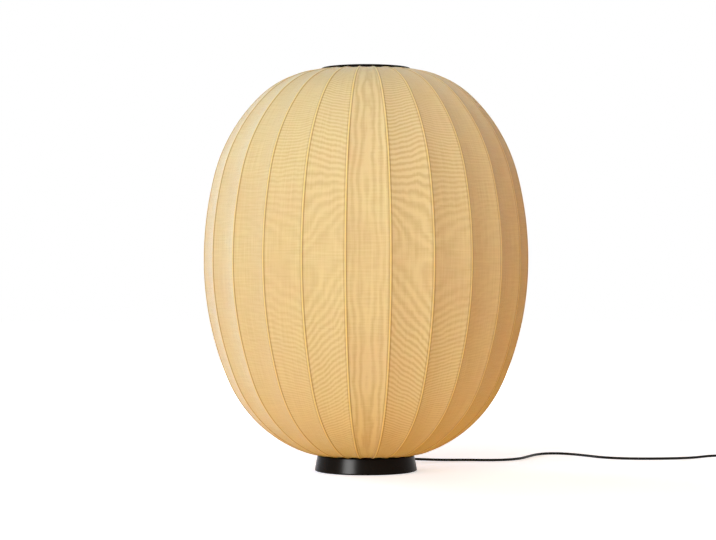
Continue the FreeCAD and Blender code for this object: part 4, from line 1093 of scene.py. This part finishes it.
# %% What the floor shows, and what it throws back
WHITE = (1.0, 1.0, 1.0)
FLOOR_TONE = (0.76, 0.77, 0.83)
FLOOR_ROUGHNESS = 0.9
WARM_BOUNCE = (0.86, 0.56, 0.18)
BOUNCE_STRENGTH = 0.26
GLOW_REACH = (0.5, 2.5)
GLOW_STRENGTHS = (0.54, 1.0)


def seen_directly(tree):
    """One for camera, mirror and glass rays, so that these all see the white background."""
    path = add_node(tree, "ShaderNodeLightPath")
    direct = calculate(tree, "MAXIMUM", path.outputs["Is Camera Ray"], path.outputs["Is Glossy Ray"])
    return calculate(tree, "MAXIMUM", direct, path.outputs["Is Transmission Ray"])


floor_white = bpy.data.materials.new("floor_white")
floor_white.use_nodes = True
floor_tree = floor_white.node_tree
floor_shader = floor_tree.nodes["Principled BSDF"]
floor_shader.inputs["Roughness"].default_value = FLOOR_ROUGHNESS
floor_shader.inputs["Specular IOR Level"].default_value = 0.0
lights_lamp = add_node(floor_tree, "ShaderNodeLightPath").outputs["Is Diffuse Ray"]
for seen_as, name in ((FLOOR_TONE, "Base Color"), (WHITE, "Emission Color")):
    feed(floor_tree, mix_colours(floor_tree, lights_lamp, seen_as, WARM_BOUNCE), floor_shader.inputs[name])
floor_place = add_node(floor_tree, "ShaderNodeTexCoord")
from_lamp = add_node(floor_tree, "ShaderNodeVectorMath", operation="LENGTH")
floor_tree.links.new(floor_place.outputs["Object"], from_lamp.inputs[0])
glow = remap(floor_tree, from_lamp.outputs["Value"], *GLOW_REACH, *GLOW_STRENGTHS)
seen = calculate(floor_tree, "MULTIPLY", seen_directly(floor_tree), glow)
strength = calculate(floor_tree, "MULTIPLY_ADD", lights_lamp, BOUNCE_STRENGTH, seen)
feed(floor_tree, strength, floor_shader.inputs["Emission Strength"])
floor.data.materials.append(floor_white)
print("floor material of", len(floor_tree.nodes), "nodes")

# %% [markdown]
# ### Light
# A broad soft light from the left front does most of the work, helped by a fainter one from the
# front. A cool one behind on the left makes that edge pale, and warm ones stand on the right,
# above and behind. A faint light inside stands for what the knit lets through. The highlight on
# the base is a light that reaches nothing but the base.

# %% Soft lights
AIM = Vector((0, 0, 0.42))


def add_light(name, place, size, power, colour=WHITE):
    """A square soft light that looks at the lamp's middle and that no gloss mirrors."""
    lamp = bpy.data.lights.new(name, "AREA")
    lamp.shape = "SQUARE"
    lamp.size = size
    lamp.energy = power
    lamp.color = colour
    made = bpy.data.objects.new(name, lamp)
    made.visible_glossy = False
    made.location = place
    made.rotation_euler = (AIM - Vector(place)).to_track_quat("-Z", "Y").to_euler()
    scene.collection.objects.link(made)
    return made


add_light("broad_light", (-1.85, -3.98, 1.8), size=2.2, power=131, colour=(0.87, 0.96, 0.98))
add_light("front_light", (0.1, -4.6, 2.0), size=2.2, power=57, colour=(0.95, 1.04, 1.15))
add_light("rim_light", (-2.76, 2.31, 0.8), size=2.0, power=102, colour=(0.8, 1.0, 1.6))
add_light("back_light", (0.5, 4.4, 1.8), size=2.2, power=95, colour=(1.0, 0.88, 0.62))
add_light("warm_fill", (3.48, -0.93, 1.0), size=2.0, power=15, colour=(1.0, 0.3, 0.05))
add_light("top_light", (0.0, -0.6, 4.0), size=2.6, power=36, colour=(1.0, 0.74, 0.38))
print("soft lights are on")

# %% Light inside the shade and highlight on the base
through = bpy.data.lights.new("through_light", "POINT")
through.energy = 0.7
through.color = (1.0, 0.75, 0.45)
through.shadow_soft_size = 0.12
inner = bpy.data.objects.new("through_light", through)
inner.location = (0, 0, 0.56)
inner.visible_camera = False
inner.visible_glossy = False
scene.collection.objects.link(inner)
base_only = bpy.data.collections.new("base_only")
base_only.objects.link(nodes["base_shell"])
shine = add_light("shine_light", (-2.83, -3.37, 1.3), size=1.8, power=575)
shine.visible_glossy = True
shine.visible_diffuse = False
shine.light_linking.receiver_collection = base_only

# %% White background
AMBIENT = (0.06, 0.04, 0.01)
world = bpy.data.worlds.new("studio")
world.use_nodes = True
world_tree = world.node_tree
backdrop = mix_colours(world_tree, seen_directly(world_tree), AMBIENT, WHITE)
feed(world_tree, backdrop, world_tree.nodes["Background"].inputs["Color"])
scene.world = world
print("background is white, with a faint warm light from all round")
